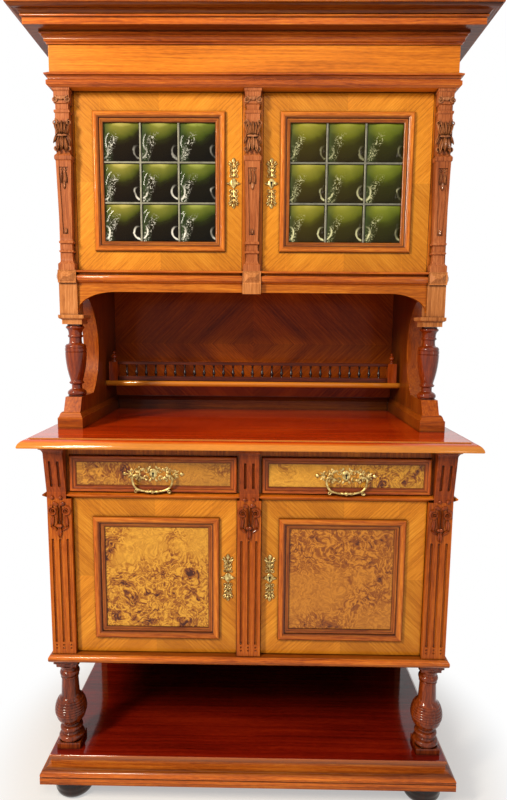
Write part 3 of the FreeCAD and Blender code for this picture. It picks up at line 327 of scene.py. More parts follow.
def settle(piece, name, material, slot, body, *nodes, smooth=40):
    """Closes a finished piece: merged, normals out, at the origin, with its finish."""
    alone(piece)
    applied()
    edit(piece, "SELECT")
    bpy.ops.mesh.remove_doubles(threshold=0.00002)
    bpy.ops.mesh.normals_make_consistent(inside=False)
    closed()
    bpy.ops.object.shade_smooth_by_angle(angle=math.radians(smooth))
    piece.name = piece.data.name = name
    piece.data.materials.clear()
    piece.data.materials.append(material)
    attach(piece, body)
    if nodes:
        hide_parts(*nodes)
    bpy.ops.object.select_all(action="DESELECT")


def turning(profile, x, y, z, sides=48, square=False):
    """Raises a disc ring by ring, as on a lathe. `profile` holds (radius, height) in mm.
    A square one has four sides, and its radius is half its width."""
    size = math.sqrt(2) if square else 1.0
    radius, height = profile[0]
    bpy.ops.mesh.primitive_circle_add(
        vertices=4 if square else sides, radius=radius * size / 1000, fill_type="NGON",
        location=(x, y, z + height / 1000), rotation=(0, 0, math.radians(45) if square else 0))
    bpy.ops.object.mode_set(mode="EDIT")
    bpy.ops.mesh.select_all(action="SELECT")
    for wider, higher in profile[1:]:
        bpy.ops.mesh.extrude_region_move(
            TRANSFORM_OT_translate={"value": (0, 0, (higher - height) / 1000)})
        grown = max(wider, 0.01) / radius
        bpy.ops.transform.resize(value=(grown, grown, 1),
                                 center_override=(x, y, z + higher / 1000))
        radius, height = max(wider, 0.01), higher
    return closed()


def joined(*pieces):
    """Joins pieces into the first of them."""
    alone(pieces[0])
    for piece in pieces:
        piece.select_set(True)
    bpy.ops.object.join()
    return bpy.context.object


def copied(piece, x=0.0, y=0.0, mirror=False):
    """A copy with its own mesh, moved, or mirrored from left to right."""
    alone(piece)
    bpy.ops.object.duplicate(linked=False)
    if mirror:
        edit(bpy.context.object, "SELECT")
        bpy.ops.transform.resize(value=(-1, 1, 1), center_override=(0, 0, 0))
        closed()
    bpy.ops.transform.translate(value=(x, y, 0))
    return bpy.context.object


# Walnut stained nearly black under French polish: the grain is lost, and thin bright
# lines run along the turned rings.
black = timber("walnut_turned_black_polish", "#34120A", "#220B05", "#140502", stripe=9,
               polish=0.15, coat=0.5, crease_shade_and_edge_light=0.8)
foot_line = rounds([(34, 0), (50, 6, 0.2), (58, 30, 0.25), (50, 58, 0.3), (44, 62),
                    (50, 66, 0.4), (50, 75, 0.5)])
foot = turning(foot_line, 0.540, -0.221, 0.0, 40)
feet = [copied(foot, x, y) for x, y in ((-1.08, 0), (0, 0.478), (-1.08, 0.478))]
settle(joined(foot, *feet), "turned_bun_feet", black, "turned_walnut", "case", "bun_feet")


# Plinth and bottom shelf: a solid walnut frame with a broad moulding planed on it, and a
# shelf board polished like a mirror, let in on top.
level_grain = (0, 1, 1)
planed = {"across": level_grain, "stripe": 5, "polish": 0.25, "coat": 0.25}
mirror_board = {"across": level_grain, "stripe": 12, "length": 900, "wave": 0.02, "crease_shade_and_edge_light": 0.6}

# Walnut mouldings, planed and waxed: honey brown with narrow stripes along them, paler
# along the edges, partly as wear and partly as a painted highlight, and painted shade in the
# quirks.
mould_wood = timber("walnut_moulding_polished", "#D47A20", "#B65A14", "#7E3408", crease_shade_and_edge_light=0.85,
                    **planed)
# Painted shade in the plinth's quirks and painted highlight on its rounds, in mm up from its foot.
plinth_shade_bands = [(0, 0.35), (2, 0.6), (8, 0.72), (9.5, 0.3), (11, 0.85), (18, 0.95),
                (20.5, 0.35), (22.5, 0.3), (24, 1), (31, 1), (36, 0.75), (41, 0.35),
                (43.5, 0.25), (46, 0.6), (50, 0.68), (60, 0.62), (62, 0.35), (63, 0.2)]
plinth_wood = timber("walnut_plinth_moulding", "#E48628", "#C6641A", "#8C3C0A", crease_shade_and_edge_light=0.7,
                     shade_bands=(0.075, plinth_shade_bands), **planed)
dress(plinth_wood, "plinth", edge=0.0012)

# The shelf's deep polish: blood red and glossy, with painted shade that takes it nearly
# black towards the back of the bay, and a golden front edge.
shelf_wood = timber("walnut_shelf_mirror_polished", "#A4260A", "#841606", "#580B03",
                    polish=0.12, coat=0.7, depth_shade=0.93, rim="#B8601C", **mirror_board)
dress(shelf_wood, "bottom_shelf", edge=0.0012)


# Columns of the open bay: walnut turnings with a ringed bulb, on a square block, under a
# square coved cap, dowelled between shelf and deck.
base_line = rounds([
    (30, 0), (32.5, 0), (32.5, 18, 0.65), (29, 19), (29, 22), (26.5, 27, -0.3), (28.5, 29),
    (28.5, 44, 0.7), (25, 45), (24, 51, -0.2), (30, 57), (44.2, 85, 0.26), (45.8, 93, 0.5),
    (45.6, 101, 0.5), (44.6, 109, 0.5), (42.6, 117, 0.5), (39.4, 125, 0.5), (35, 132, 0.5),
    (29, 141, 0.1), (27, 150, -0.15), (24.3, 200), (27, 203), (27, 207), (25.5, 208),
    (25.5, 225, 0.45), (24, 226), (24, 230), (30, 239, -0.35), (32, 245)], 5)
# Dark red-brown stain under a high polish: warm where light grazes the rings, black
# between, with painted shade in the grooves.
stained = timber("walnut_turned_dark_stain", "#9A4414", "#6C2A0C", "#381004", stripe=9,
                 polish=0.14, coat=0.4, crease_shade_and_edge_light=0.92)
block_line = rounds([(35, 0), (35, 17), (33, 19, 0.4)])
cap_line = rounds([(29, 0), (30, 2), (35, 13, -0.35), (36, 14), (36, 28)])
axis = (0.547, -0.217)
column = joined(turning(base_line, *axis, 0.173), turning(block_line, *axis, 0.154, square=True),
                turning(cap_line, *axis, 0.418, square=True))
settle(joined(column, copied(column, mirror=True)), "turned_bay_columns", stained,
       "turned_walnut", "case", "base_columns", smooth=30)


# Open bay and deck: side boards, rails and brackets behind the columns, and the moulded
# deck board over them. Flat faces are veneered, with the grain upright on uprights and
# level on rails: warm brown with soft darker stripes and a dull wax shine.
upright_wood = timber("walnut_veneer_upright", "#CC7A22", "#AC5A12", "#783608", crease_shade_and_edge_light=0.8)
level_wood = timber("walnut_veneer_level", "#D07E24", "#B05E14", "#7C3A08", across=level_grain,
                    crease_shade_and_edge_light=0.8)
dress(upright_wood, "bay_side_boards", edge=0.0008)
# Painted shade in the deck moulding's quirks and painted highlight on its rounds.
deck_shade_bands = [(0, 0.3), (3, 0.55), (8, 0.78), (10, 0.42), (12, 0.95), (20, 1), (23, 0.8),
              (25, 0.4)]
deck_wood = timber("walnut_deck_moulding", "#D88024", "#BC6016", "#84380A", crease_shade_and_edge_light=0.7,
                   shade_bands=(0.446, deck_shade_bands), **planed)
dress(deck_wood, "lower_deck", edge=0.0008)


# Lower case: veneered sides, a face frame, a nosing between doors and drawers, and inner
# boards of softwood that show only with a door or drawer open. These are stained to match,
# without polish: dark, dull and plain.
inner_wood = timber("walnut_inside_stained", "#6A3412", "#4C210A", "#331405", polish=0.5,
                    coat=0.0)
dress(upright_wood, "side_panels", "lower_face_frame", edge=0.0008)
dress(mould_wood, "rail_nosing", edge=0.0006)
dress(inner_wood, "back_panels", "inner_shelves", "drawer_bay_boards")


# Lower pilasters: upright boards with three stopped flutes run with a round plane, two
# drilled dots under each flute, and a scrolled drop carved in walnut and glued on above.
def pick_faces(test):
    """Selects the faces of the open piece whose middle and normal pass a test."""
    mesh = bmesh.from_edit_mesh(bpy.context.object.data)
    for face in mesh.faces:
        face.select_set(False)
    for face in mesh.faces:
        if test(face.calc_center_median(), face.normal):
            face.select_set(True)
    bmesh.update_edit_mesh(bpy.context.object.data)


def pick_points(test):
    """Selects the vertices of the open piece whose place passes a test."""
    mesh = bmesh.from_edit_mesh(bpy.context.object.data)
    for vertex in mesh.verts:
        vertex.select_set(test(vertex.co))
    mesh.select_flush_mode()
    bmesh.update_edit_mesh(bpy.context.object.data)


def block_of(low, high):
    """A squared board between two corners in metres, ready to be shaped."""
    middle = (Vector(low) + Vector(high)) / 2
    bpy.ops.mesh.primitive_cube_add(size=1, location=middle, scale=Vector(high) - Vector(low))
    return applied()


def carve(piece, *cutters):
    """Cuts cutters out of a piece and removes them."""
    for cutter in cutters:
        cut = piece.modifiers.new("cut", "BOOLEAN")
        cut.operation = "DIFFERENCE"
        cut.object = cutter
        cut.solver = "EXACT"
        alone(piece)
        bpy.ops.object.modifier_apply(modifier=cut.name)
        bpy.data.objects.remove(cutter)
    return piece


def gouge(x, y, low, high, radius, depth):
    """A round-ended cutter for a flute, or a drilled dot where low equals high."""
    bpy.ops.mesh.primitive_uv_sphere_add(segments=16, ring_count=8, radius=radius,
                                         location=(x, y, low))
    edit(applied())
    pick_points(lambda spot: spot.z > low + radius * 0.1)
    bpy.ops.transform.translate(value=(0, 0, high - low))
    bpy.ops.mesh.select_all(action="SELECT")
    bpy.ops.transform.resize(value=(1, depth / radius, 1), center_override=(x, y, low))
    return closed()


def scroll(x, y, z, radius, wire, turns=1.6, hand=1, start=0.0, shrink=0.35, steps=14):
    """A carved or cast volute: a round section carried round and inwards about its eye."""
    eye = (x, y, z)
    bpy.ops.mesh.primitive_circle_add(vertices=7, radius=wire, fill_type="NGON",
                                      location=(x + radius, y, z))
    bpy.ops.object.mode_set(mode="EDIT")
    bpy.ops.mesh.select_all(action="SELECT")
    if start:
        bpy.ops.transform.rotate(value=math.radians(start), orient_axis="Y", center_override=eye)
    count = int(turns * steps)
    each = shrink ** (1 / count)
    for _ in range(count):
        bpy.ops.mesh.extrude_region_move()
        bpy.ops.transform.rotate(value=hand * 2 * math.pi / steps, orient_axis="Y",
                                 center_override=eye)
        bpy.ops.transform.resize(value=(each, each, each), center_override=eye)
    closed()
    return applied()


def lobe(x, y, z, wide, long, thick, lean=0.0, tip=0.0):
    """One lobe of a carved leaf: an almond with a vein down its face, tipped forward."""
    middle = (x, y, z)
    bpy.ops.mesh.primitive_uv_sphere_add(segments=12, ring_count=8, radius=0.5, location=middle,
                                         scale=(wide, thick * 2, long))
    edit(applied())
    pick_points(lambda spot: abs(spot.x - x) < wide * 0.02 and spot.y < y)
    bpy.ops.transform.translate(value=(0, thick * 0.45, 0))
    pick_points(lambda spot: spot.z < z - long * 0.3)
    bpy.ops.transform.translate(value=(0, -tip, 0))
    bpy.ops.transform.resize(value=(0.6, 1, 1), center_override=middle)
    bpy.ops.mesh.select_all(action="SELECT")
    bpy.ops.transform.rotate(value=math.radians(lean), orient_axis="Y", center_override=middle)
    return closed()


def drop(x):
    """The scrolled drop at the head of a lower pilaster: two volutes, a tongue between
    them, and a leaf with three tips hanging below."""
    y = -0.2615
    parts = [scroll(x - 0.0185, y, 0.910, 0.0138, 0.0046, 1.7, 1, 90),
             scroll(x + 0.0185, y, 0.910, 0.0138, 0.0046, 1.7, -1, 90)]
    for across, z, wide, long, thick, lean, tip in (
            (0.0185, 0.910, 0.007, 0.007, 0.006, 0, 0),
            (0.0200, 0.880, 0.013, 0.038, 0.005, 6, 0.001),
            (0.0045, 0.896, 0.008, 0.066, 0.006, 0, 0),
            (0.0150, 0.859, 0.009, 0.028, 0.005, -58, 0.001),
            (0.0100, 0.931, 0.018, 0.012, 0.005, 30, 0)):
        parts += [lobe(x + s * across, y, z, wide, long, thick, s * lean, tip) for s in (-1, 1)]
    parts += [lobe(x, y, 0.846, 0.016, 0.032, 0.007, 0, 0.002),
              lobe(x, y, 0.866, 0.022, 0.013, 0.007)]
    return joined(*parts)


pilasters, drops = [], []
for x in (-0.5455, 0.0, 0.5455):
    face = -0.261
    board = block_of((x - 0.0345, face, 0.471), (x + 0.0345, -0.245, 0.946))
    across = [x - 0.0215, x, x + 0.0215]
    flutes = [gouge(u, face, 0.511, 0.823, 0.0042, 0.0052) for u in across]
    dots = [gouge(u, face, z, z, 0.0034, 0.003) for u in across for z in (0.489, 0.499)]
    pilasters.append(carve(board, *flutes, *dots))
    drops.append(drop(x))
# The pilasters' polished veneer: redder than the doors, with painted shade in the flutes.
# The carving on it is stained deeper, with painted shade in its hollows and paler ridges,
# partly wear and partly a painted highlight.
pilaster_wood = timber("walnut_pilaster_polished", "#CC701C", "#AC5210", "#783206", stripe=5,
                       crease_shade_and_edge_light=0.88)
carved_wood = timber("walnut_carved_dark", "#B4581C", "#8E3E10", "#5A2008", stripe=6,
                     polish=0.3, coat=0.2, crease_shade_and_edge_light=0.92)
settle(joined(*pilasters), "fluted_lower_pilasters", pilaster_wood, "walnut_veneer", "case",
       "lower_pilasters", smooth=30)
settle(joined(*drops), "carved_pilaster_drops", carved_wood, "turned_walnut", "case", smooth=50)


# Consoles beside the drawers: walnut blocks that lean out under the counter, with two
# flutes each and a coved cap. Two little domes sit on the block below each.
def tilted(piece, about, **turns):
    """Turns a whole piece about a point, by degrees about X, Y or Z."""
    edit(piece, "SELECT")
    for axis, degrees in turns.items():
        bpy.ops.transform.rotate(value=math.radians(degrees), orient_axis=axis,
                                 center_override=about)
    return closed()


back, face = -0.245, -0.261
low, high, overhang = 0.965, 1.078, 0.018
cap_steps = ((1.02, 0.004), (1.05, 0.004), (1.09, 0.004), (1.14, 0.003), (1.0, 0.005))
dome_line = rounds([(6, 0), (6, 1), (0.2, 6, 0.35)])
consoles, domes = [], []
for x in (-0.5525, 0.0, 0.5525):
    left, right = x - 0.0275, x + 0.0275
    body = block_of((left, face, low), (right, back, high))
    edit(body)
    pick_points(lambda spot: spot.z > 1.07 and spot.y < -0.25)
    bpy.ops.transform.translate(value=(0, -overhang, 0))
    closed()
    leaning = -math.degrees(math.atan2(overhang, high - low))
    carve(body, *[tilted(gouge(x + s * 0.0115, -0.270, 0.984, 1.056, 0.0042, 0.0062),
                         (x, -0.270, 1.020), X=leaning) for s in (-1, 1)])
    top = high + 0.003
    cap = block_of((left, face - overhang, high), (right, back, top))
    edit(cap)
    pick_faces(lambda middle, normal: normal.z > 0.9)
    for wide, rise in cap_steps:
        bpy.ops.mesh.extrude_region_move(TRANSFORM_OT_translate={"value": (0, 0, rise)})
        top += rise
        bpy.ops.transform.resize(value=(wide, wide, 1), center_override=(x, back, top))
    closed()
    consoles += [body, cap, block_of((left, face, 0.946), (right, back, low))]
    for spot in ((x + s * 0.012, face, 0.9495) for s in (-1, 1)):
        domes.append(tilted(turning(dome_line, *spot, 20), spot, X=-90))
# The consoles are darker and redder: they are handled less, and the counter's shadow over
# them is painted into their colour.
shadowed_console_wood = timber("walnut_console_polished", "#B45418", "#8E3C0E", "#5E2206", stripe=6,
                      crease_shade_and_edge_light=0.85)
settle(joined(*consoles), "fluted_consoles", shadowed_console_wood, "walnut_moulding", "case",
       "consoles", smooth=30)
settle(joined(*domes), "console_domes", carved_wood, "walnut_moulding", "case")


# Lower doors: mitred walnut veneer on the frames, a bolection moulding planted round the
# opening, and a burl panel. The veneer's grain runs to the corners of each frame.
def planted(x0, x1, z0, z1, y, profile):
    """A mitred frame moulding. `profile` holds (height, inward) in mm, from the outer edge."""
    middle = Vector(((x0 + x1) / 2, y, (z0 + z1) / 2))
    bpy.ops.mesh.primitive_plane_add(size=1, location=middle, rotation=(math.radians(90), 0, 0))
    bpy.context.object.scale = (x1 - x0, z1 - z0, 1)
    piece = applied()
    bpy.ops.object.mode_set(mode="EDIT")
    bpy.ops.mesh.select_all(action="SELECT")
    height, inward = profile[0]
    for higher, further in profile[1:]:
        if further - inward < 0.01:
            bpy.ops.mesh.extrude_region_move(
                TRANSFORM_OT_translate={"value": (0, (height - higher) / 1000, 0)})
        else:
            bpy.ops.mesh.inset(thickness=(further - inward) / 1000, depth=(higher - height) / 1000)
        height, inward = higher, further
    bpy.ops.mesh.delete(type="FACE")
    pick_faces(lambda place, normal: abs(normal.y) > 0.99 and abs(place.y - y) < 0.00001
               and abs(place.x - middle.x) < 0.001 and abs(place.z - middle.z) < 0.001)
    bpy.ops.mesh.delete(type="FACE")
    mesh = bmesh.from_edit_mesh(piece.data)
    for rim in mesh.edges:
        rim.select_set(rim.is_boundary)
    bmesh.update_edit_mesh(piece.data)
    bpy.ops.mesh.bridge_edge_loops()
    return closed()


bolection = rounds([(0, 0), (4.4, 0), (9.9, 4, 0.3), (11, 8, 0.2), (10.2, 14, 0.15),
                    (6, 20, -0.1), (2.8, 20.6), (2.2, 26.4), (-1.3, 33, 0.2), (-3.2, 33.02)], 5)
bolection = [(min(height, 11), inward) for height, inward in bolection]
# Painted shade in the bolection's quirks and painted highlight on its round.
bolection_shade_bands = [(0, 0.35), (2, 0.75), (5, 1), (10, 1), (14, 0.8), (17.5, 0.5), (19.5, 0.2),
                   (21, 0.2), (22, 0.75), (25, 0.8), (26.5, 0.3), (28.5, 0.65), (31, 0.45),
                   (33, 0.15)]
# The frames' golden walnut veneer: narrow stripes that meet at the mitres, one leaf a little
# darker than the next. The mouldings are redder, with a painted highlight on the round and
# painted shade in the quirks.
star_veneer = {"stripe": 4, "fold": "star", "contrast": 0.85, "wave": 0.012, "crease_shade_and_edge_light": 0.8}
mitred = {"stripe": 5, "fold": "frame", "polish": 0.25, "coat": 0.25, "crease_shade_and_edge_light": 0.8}
for side, sign in (("left", -1), ("right", 1)):
    body = "lower_door_" + side
    door_wood = timber("walnut_mitred_%s_lower_door" % side, "#EAA032", "#D2821E", "#A25A12",
                       centre=(sign * 0.273, 0, 0.7085), **star_veneer)
    strip_wood = timber("walnut_%s_lower_bolection" % side, "#D67E24", "#B25A14", "#722C08",
                        centre=(sign * 0.2695, 0, 0.705), mitre=-0.0025,
                        shade_bands=(0.1835, bolection_shade_bands), **mitred)
    dress(door_wood, body + "_frame")
    low, high = sorted((sign * 0.086, sign * 0.453))
    settle(planted(low, high, 0.519, 0.891, -0.245, bolection), body + "_bolection", strip_wood,
           "walnut_moulding", body, body + "_moulding", smooth=28)


# Burl panels: sheets of veneer sawn from a walnut burr and polished. The eye sees gold
# crossed by red-brown swirls, with dark pin knots that crowd into patches a hand wide.
def burl(name, centre, gold, brown):
    """Walnut burl veneer, its figure taken at `centre` so that no two sheets are alike:
    curls 16 mm across, pin knots 60 mm apart, and patches of both 150 mm wide."""
    material, tree = blank(name)
    place = add(tree, "TexCoord").outputs["Object"]
    moved = add(tree, "Mapping", {"Vector": place, "Location": centre})
    wander = add(tree, "TexNoise", {"Vector": moved, "Scale": 11.0, "Detail": 3.0})
    shift = add(tree, "VectorMath", {0: wander.outputs["Color"], "Scale": 0.10}, operation="SCALE")
    bent = add(tree, "VectorMath", {0: moved, 1: shift}, operation="ADD")
    patches = add(tree, "TexNoise", {"Vector": moved, "Scale": 6.5, "Detail": 3.0})
    crowd = add(tree, "MapRange", {"Value": patches, "From Min": 0.38, "From Max": 0.56},
                interpolation_type="SMOOTHSTEP")
    curls = add(tree, "TexNoise", {"Vector": bent, "Scale": 64.0, "Detail": 6.0,
                                   "Roughness": 0.6, "Distortion": 1.6})
    knots = add(tree, "TexVoronoi", {"Vector": bent, "Scale": 17.0, "Randomness": 1.0})
    eyes = add(tree, "MapRange", {"Value": knots.outputs["Distance"], "From Min": 0.10,
                                  "From Max": 0.40, "To Min": 0.42, "To Max": 0.0})
    swing = add(tree, "Math", {0: curls, 1: 0.5}, operation="SUBTRACT")
    strength = add(tree, "Math", {0: crowd, 1: 2.0, 2: 0.8}, operation="MULTIPLY_ADD")
    figure = add(tree, "Math", {0: swing, 1: strength, 2: 0.70}, operation="MULTIPLY_ADD")
    deep = add(tree, "Math", {0: eyes, 1: 0.13}, operation="ADD")
    deep = add(tree, "Math", {0: deep, 1: crowd}, operation="MULTIPLY")
    figure = add(tree, "Math", {0: figure, 1: deep}, operation="SUBTRACT")
    colour = graded(add(tree, "ValToRGB", {"Fac": figure}),
                    [(0.05, tone("#441804")), (0.28, tone("#84440E")), (0.52, tone(brown)),
                     (0.80, tone(gold))])
    surface = add(tree, "BsdfPrincipled", {
        "Base Color": colour, "Roughness": 0.28, "Coat Weight": 0.3, "Coat Roughness": 0.07,
        "Specular IOR Level": 0.2})
    add(tree, "OutputMaterial", {"Surface": surface})
    return material


for side, shift, gold, brown in (("left", 3.1, "#DEA234", "#B07018"),
                                 ("right", 6.2, "#CC8426", "#98540C")):
    sheet = burl("walnut_burl_%s_door" % side, (shift, 0, 0.7), gold, brown)
    dress(sheet, "lower_door_%s_panel" % side, edge=0.0006)


# Door plates: pierced brass castings of scrolls and leaf tips, pinned on the meeting
# stiles. Only the right-hand doors lock, so only theirs have a keyhole and a lock case.
def metal(name, dull, bright, scale, detail=2.0, spread=0.5, metallic=1.0, roughness=0.5):
    """A bare metal, tarnished in specks: `spread` is how far dull and bright lie apart."""
    material, tree = blank(name)
    place = add(tree, "TexCoord").outputs["Object"]
    specks = add(tree, "TexNoise", {"Vector": place, "Scale": scale, "Detail": detail})
    colour = graded(add(tree, "ValToRGB", {"Fac": specks}),
                    [(0.5 - spread, tone(dull)), (0.5 + spread, tone(bright))])
    surface = add(tree, "BsdfPrincipled", {"Base Color": colour, "Metallic": metallic,
                                           "Roughness": roughness})
    add(tree, "OutputMaterial", {"Surface": surface})
    return material


# Cast brass that has lost its lacquer: bright yellow where it is rubbed, with brown
# tarnish in patches of 8 mm. The real specks are finer than the render can show.
brass = metal("brass_cast_aged", "#94703A", "#F0D48A", 120.0, 3.0, 0.15, roughness=0.32)
# Blued iron of locks and pins: nearly black, with a dull grey sheen in patches of 12 mm.
iron = metal("iron_lock_blued", "#1C1A18", "#3A3632", 80.0)


def keyhole(x, y, z):
    """The dark opening of a lock: a round with a slot below it."""
    hole = turning([(3.3, 0), (3.3, 0.5), (2.7, 0.6)], x, y, z, 14)
    slot = ((x - 0.0017, y - 0.0006, z - 0.0105), (x + 0.0017, y, z))
    return joined(tilted(hole, (x, y, z), X=-90), block_of(*slot))


def lock_case(x, y, z):
    """The iron box of a lock, let in from behind, its cover plate riveted on."""
    edit(block_of((x - 0.023, y, z - 0.030), (x + 0.023, y + 0.010, z + 0.030)))
    pick_faces(lambda middle, normal: normal.y > 0.9)
    bpy.ops.mesh.inset(thickness=0.003, depth=-0.0012)
    return closed()


def door_plate(x, y, z):
    """A cast plate: a shield, paired scrolls above and below it, and leaf tips."""
    y -= 0.0015
    parts = [lobe(x, y, z, 0.020, 0.030, 0.0022), lobe(x, y, z + 0.064, 0.011, 0.016, 0.0022),
             lobe(x, y, z - 0.064, 0.011, 0.016, 0.0022)]
    for s in (-1, 1):
        for rise, size in ((0.022, 0.0066), (0.036, 0.0060), (0.0475, 0.0056)):
            across = s * 0.0085 * (size / 0.0062) ** 0.5
            parts += [scroll(x + across, y, z + turn * rise, size, 0.0016, 1.3, s * turn,
                             90 * turn, 0.4, 10) for turn in (-1, 1)]
        parts += [lobe(x + s * 0.0118, y, z, 0.006, 0.012, 0.0018, s * 10),
                  lobe(x + s * 0.0155, y, z, 0.005, 0.010, 0.0018, 90)]
        for turn in (-1, 1):
            parts += [lobe(x + s * across, y, z + turn * rise, 0.0046, 0.0125, 0.0019,
                           -s * turn * lean)
                      for rise, across, lean in ((0.0595, 0.0095, 40), (0.0540, 0.0115, 55))]
    for turn in (-1, 1):
        parts += [lobe(x, y, z + turn * 0.030, 0.0045, 0.034, 0.0016),
                  lobe(x, y, z + turn * 0.050, 0.0045, 0.020, 0.0016)]
    return joined(*parts)


for x, y, z, storey in ((0.06125, -0.245, 0.7085, "lower"), (0.05575, -0.086, 1.857, "upper")):
    left, right = storey + "_door_left", storey + "_door_right"
    settle(door_plate(-x, y, z), left + "_brass_plate", brass, "brass_mount", left,
           left + "_plate", smooth=60)
    settle(door_plate(x, y, z), right + "_brass_plate", brass, "brass_mount", right,
           right + "_lock", smooth=60)
    settle(keyhole(x, y - 0.0036, z + 0.002), right + "_keyhole", iron, "steel_pin", right)
    settle(lock_case(x, y + 0.022, z), right + "_lock_case", iron, "steel_pin", right)
dress(iron, "pivot_pins")


# Drawers: pine boxes behind burl fronts with a small moulding mitred round them. The
# pulls are pierced castings with a swan-necked bail that swings on two ears.
def backplate(x, y, z):
    """A cast pull plate: a shield, scrolls and leaves running out to a stud on each side."""
    front = y - 0.0015
    parts = [lobe(x, front, z, 0.024, 0.034, 0.0026)]
    for s in (-1, 1):
        for across, rise, radius, wire, turns, hand in (
                (0.020, 0.0105, 0.009, 0.0021, 1.5, s), (0.022, -0.0105, 0.008, 0.0021, 1.5, -s),
                (0.060, 0.007, 0.007, 0.002, 1.4, -s), (0.060, -0.007, 0.007, 0.002, 1.4, s),
                (0.038, 0.0165, 0.0052, 0.0019, 1.3, -s), (0.037, -0.016, 0.005, 0.0019, 1.3, s),
                (0.050, 0.0115, 0.005, 0.0019, 1.3, s), (0.050, -0.0115, 0.005, 0.0019, 1.3, -s)):
            start = math.copysign(90, rise)
            parts.append(scroll(x + s * across, front, z + rise, radius, wire, turns, hand,
                                start, 0.4, 10))
        for across, rise, wide, long, thick, lean in (
                (0.034, 0.012, 0.008, 0.020, 0.0024, s * 60),
                (0.034, -0.010, 0.007, 0.018, 0.0024, s * 120),
                (0.044, 0, 0.016, 0.022, 0.003, 0), (0.066, 0, 0.006, 0.024, 0.0022, 90),
                (0.010, 0.019, 0.006, 0.013, 0.002, s * 30),
                (0.009, -0.018, 0.006, 0.012, 0.002, s * 35),
                (0.070, 0.007, 0.005, 0.012, 0.002, s * -50),
                (0.070, -0.007, 0.005, 0.012, 0.002, s * 50)):
            parts.append(lobe(x + s * across, front, z + rise, wide, long, thick, lean))
        spot = (x + s * 0.0815, y, z)
        parts.append(tilted(turning([(6, 0), (6, 1.5), (0.4, 5)], *spot, square=True), spot,
                            X=-90, Y=45))
        ear = x + s * 0.0437
        edit(block_of((ear - 0.004, -0.263, z - 0.004), (ear + 0.004, front, z + 0.004)))
        pick_faces(lambda middle, normal: normal.y < -0.9)
        bpy.ops.mesh.inset(thickness=0.0012, depth=0.001)
        parts.append(closed())
    return joined(*parts)


def drawn_wire(points, radius):
    """A rod of even thickness bent along points given in metres."""
    bpy.ops.curve.primitive_bezier_curve_add(location=(0, 0, 0))
    run = bpy.context.object.data
    run.splines.clear()
    spline = run.splines.new("NURBS")
    spline.points.add(len(points) - 1)
    for point, spot in zip(spline.points, points):
        point.co = (*spot, 1.0)
    spline.order_u = 4
    spline.use_endpoint_u = True
    spline.resolution_u = 4
    run.dimensions = "3D"
    run.bevel_depth = radius
    run.bevel_resolution = 2
    run.use_fill_caps = True
    bpy.ops.object.convert(target="MESH")
    return bpy.context.object


grip_line = rounds([
    (3.2, -22), (3.5, -18), (4.8, -16.5, 0.5), (3.9, -14.5), (5.0, -12, 0.4), (3.5, -9.5),
    (4.4, -4, -0.1), (6.2, -2.4), (6.8, 0, 0.2), (6.2, 2.4, 0.2), (4.4, 4), (3.5, 9.5, -0.1),
    (5.0, 12), (3.9, 14.5, 0.4), (4.8, 16.5), (3.5, 18, 0.5), (3.2, 22)], 3)
swan_neck = [(0.0437, 0), (0.052, 0.001), (0.0585, -0.006), (0.0575, -0.020), (0.052, -0.034),
             (0.043, -0.0425), (0.031, -0.0455), (0.020, -0.0475)]


def bail(x, y, z):
    """A swinging handle: two swan necks that end in curls, and a turned grip between."""
    parts = []
    for s in (-1, 1):
        neck = [(x + s * across, y, z + rise) for across, rise in swan_neck]
        parts += [drawn_wire(neck, 0.0034),
                  scroll(x + s * 0.0475, y, z - 0.0475, 0.0052, 0.0021, 1.2, -s, 0, 0.5, 10)]
    spot = (x, y, z - 0.048)
    return joined(*parts, tilted(turning(grip_line, *spot, 16), spot, Y=90))


# Waxed pine of the drawer boxes: pale straw with wide soft stripes, dull.
box_wood = timber("pine_drawer_box_waxed", "#D9B98A", "#C9A472", "#B08A58", across=(1, 0, 1),
                  stripe=14, polish=0.5, coat=0.0)
front_moulding = rounds([(0, 0), (5.6, 0), (8, 2.9, 0.25), (7.6, 7.8, 0.2), (3.2, 15.6, -0.2),
                         (2, 19.5), (0.2, 19.52)], 5)
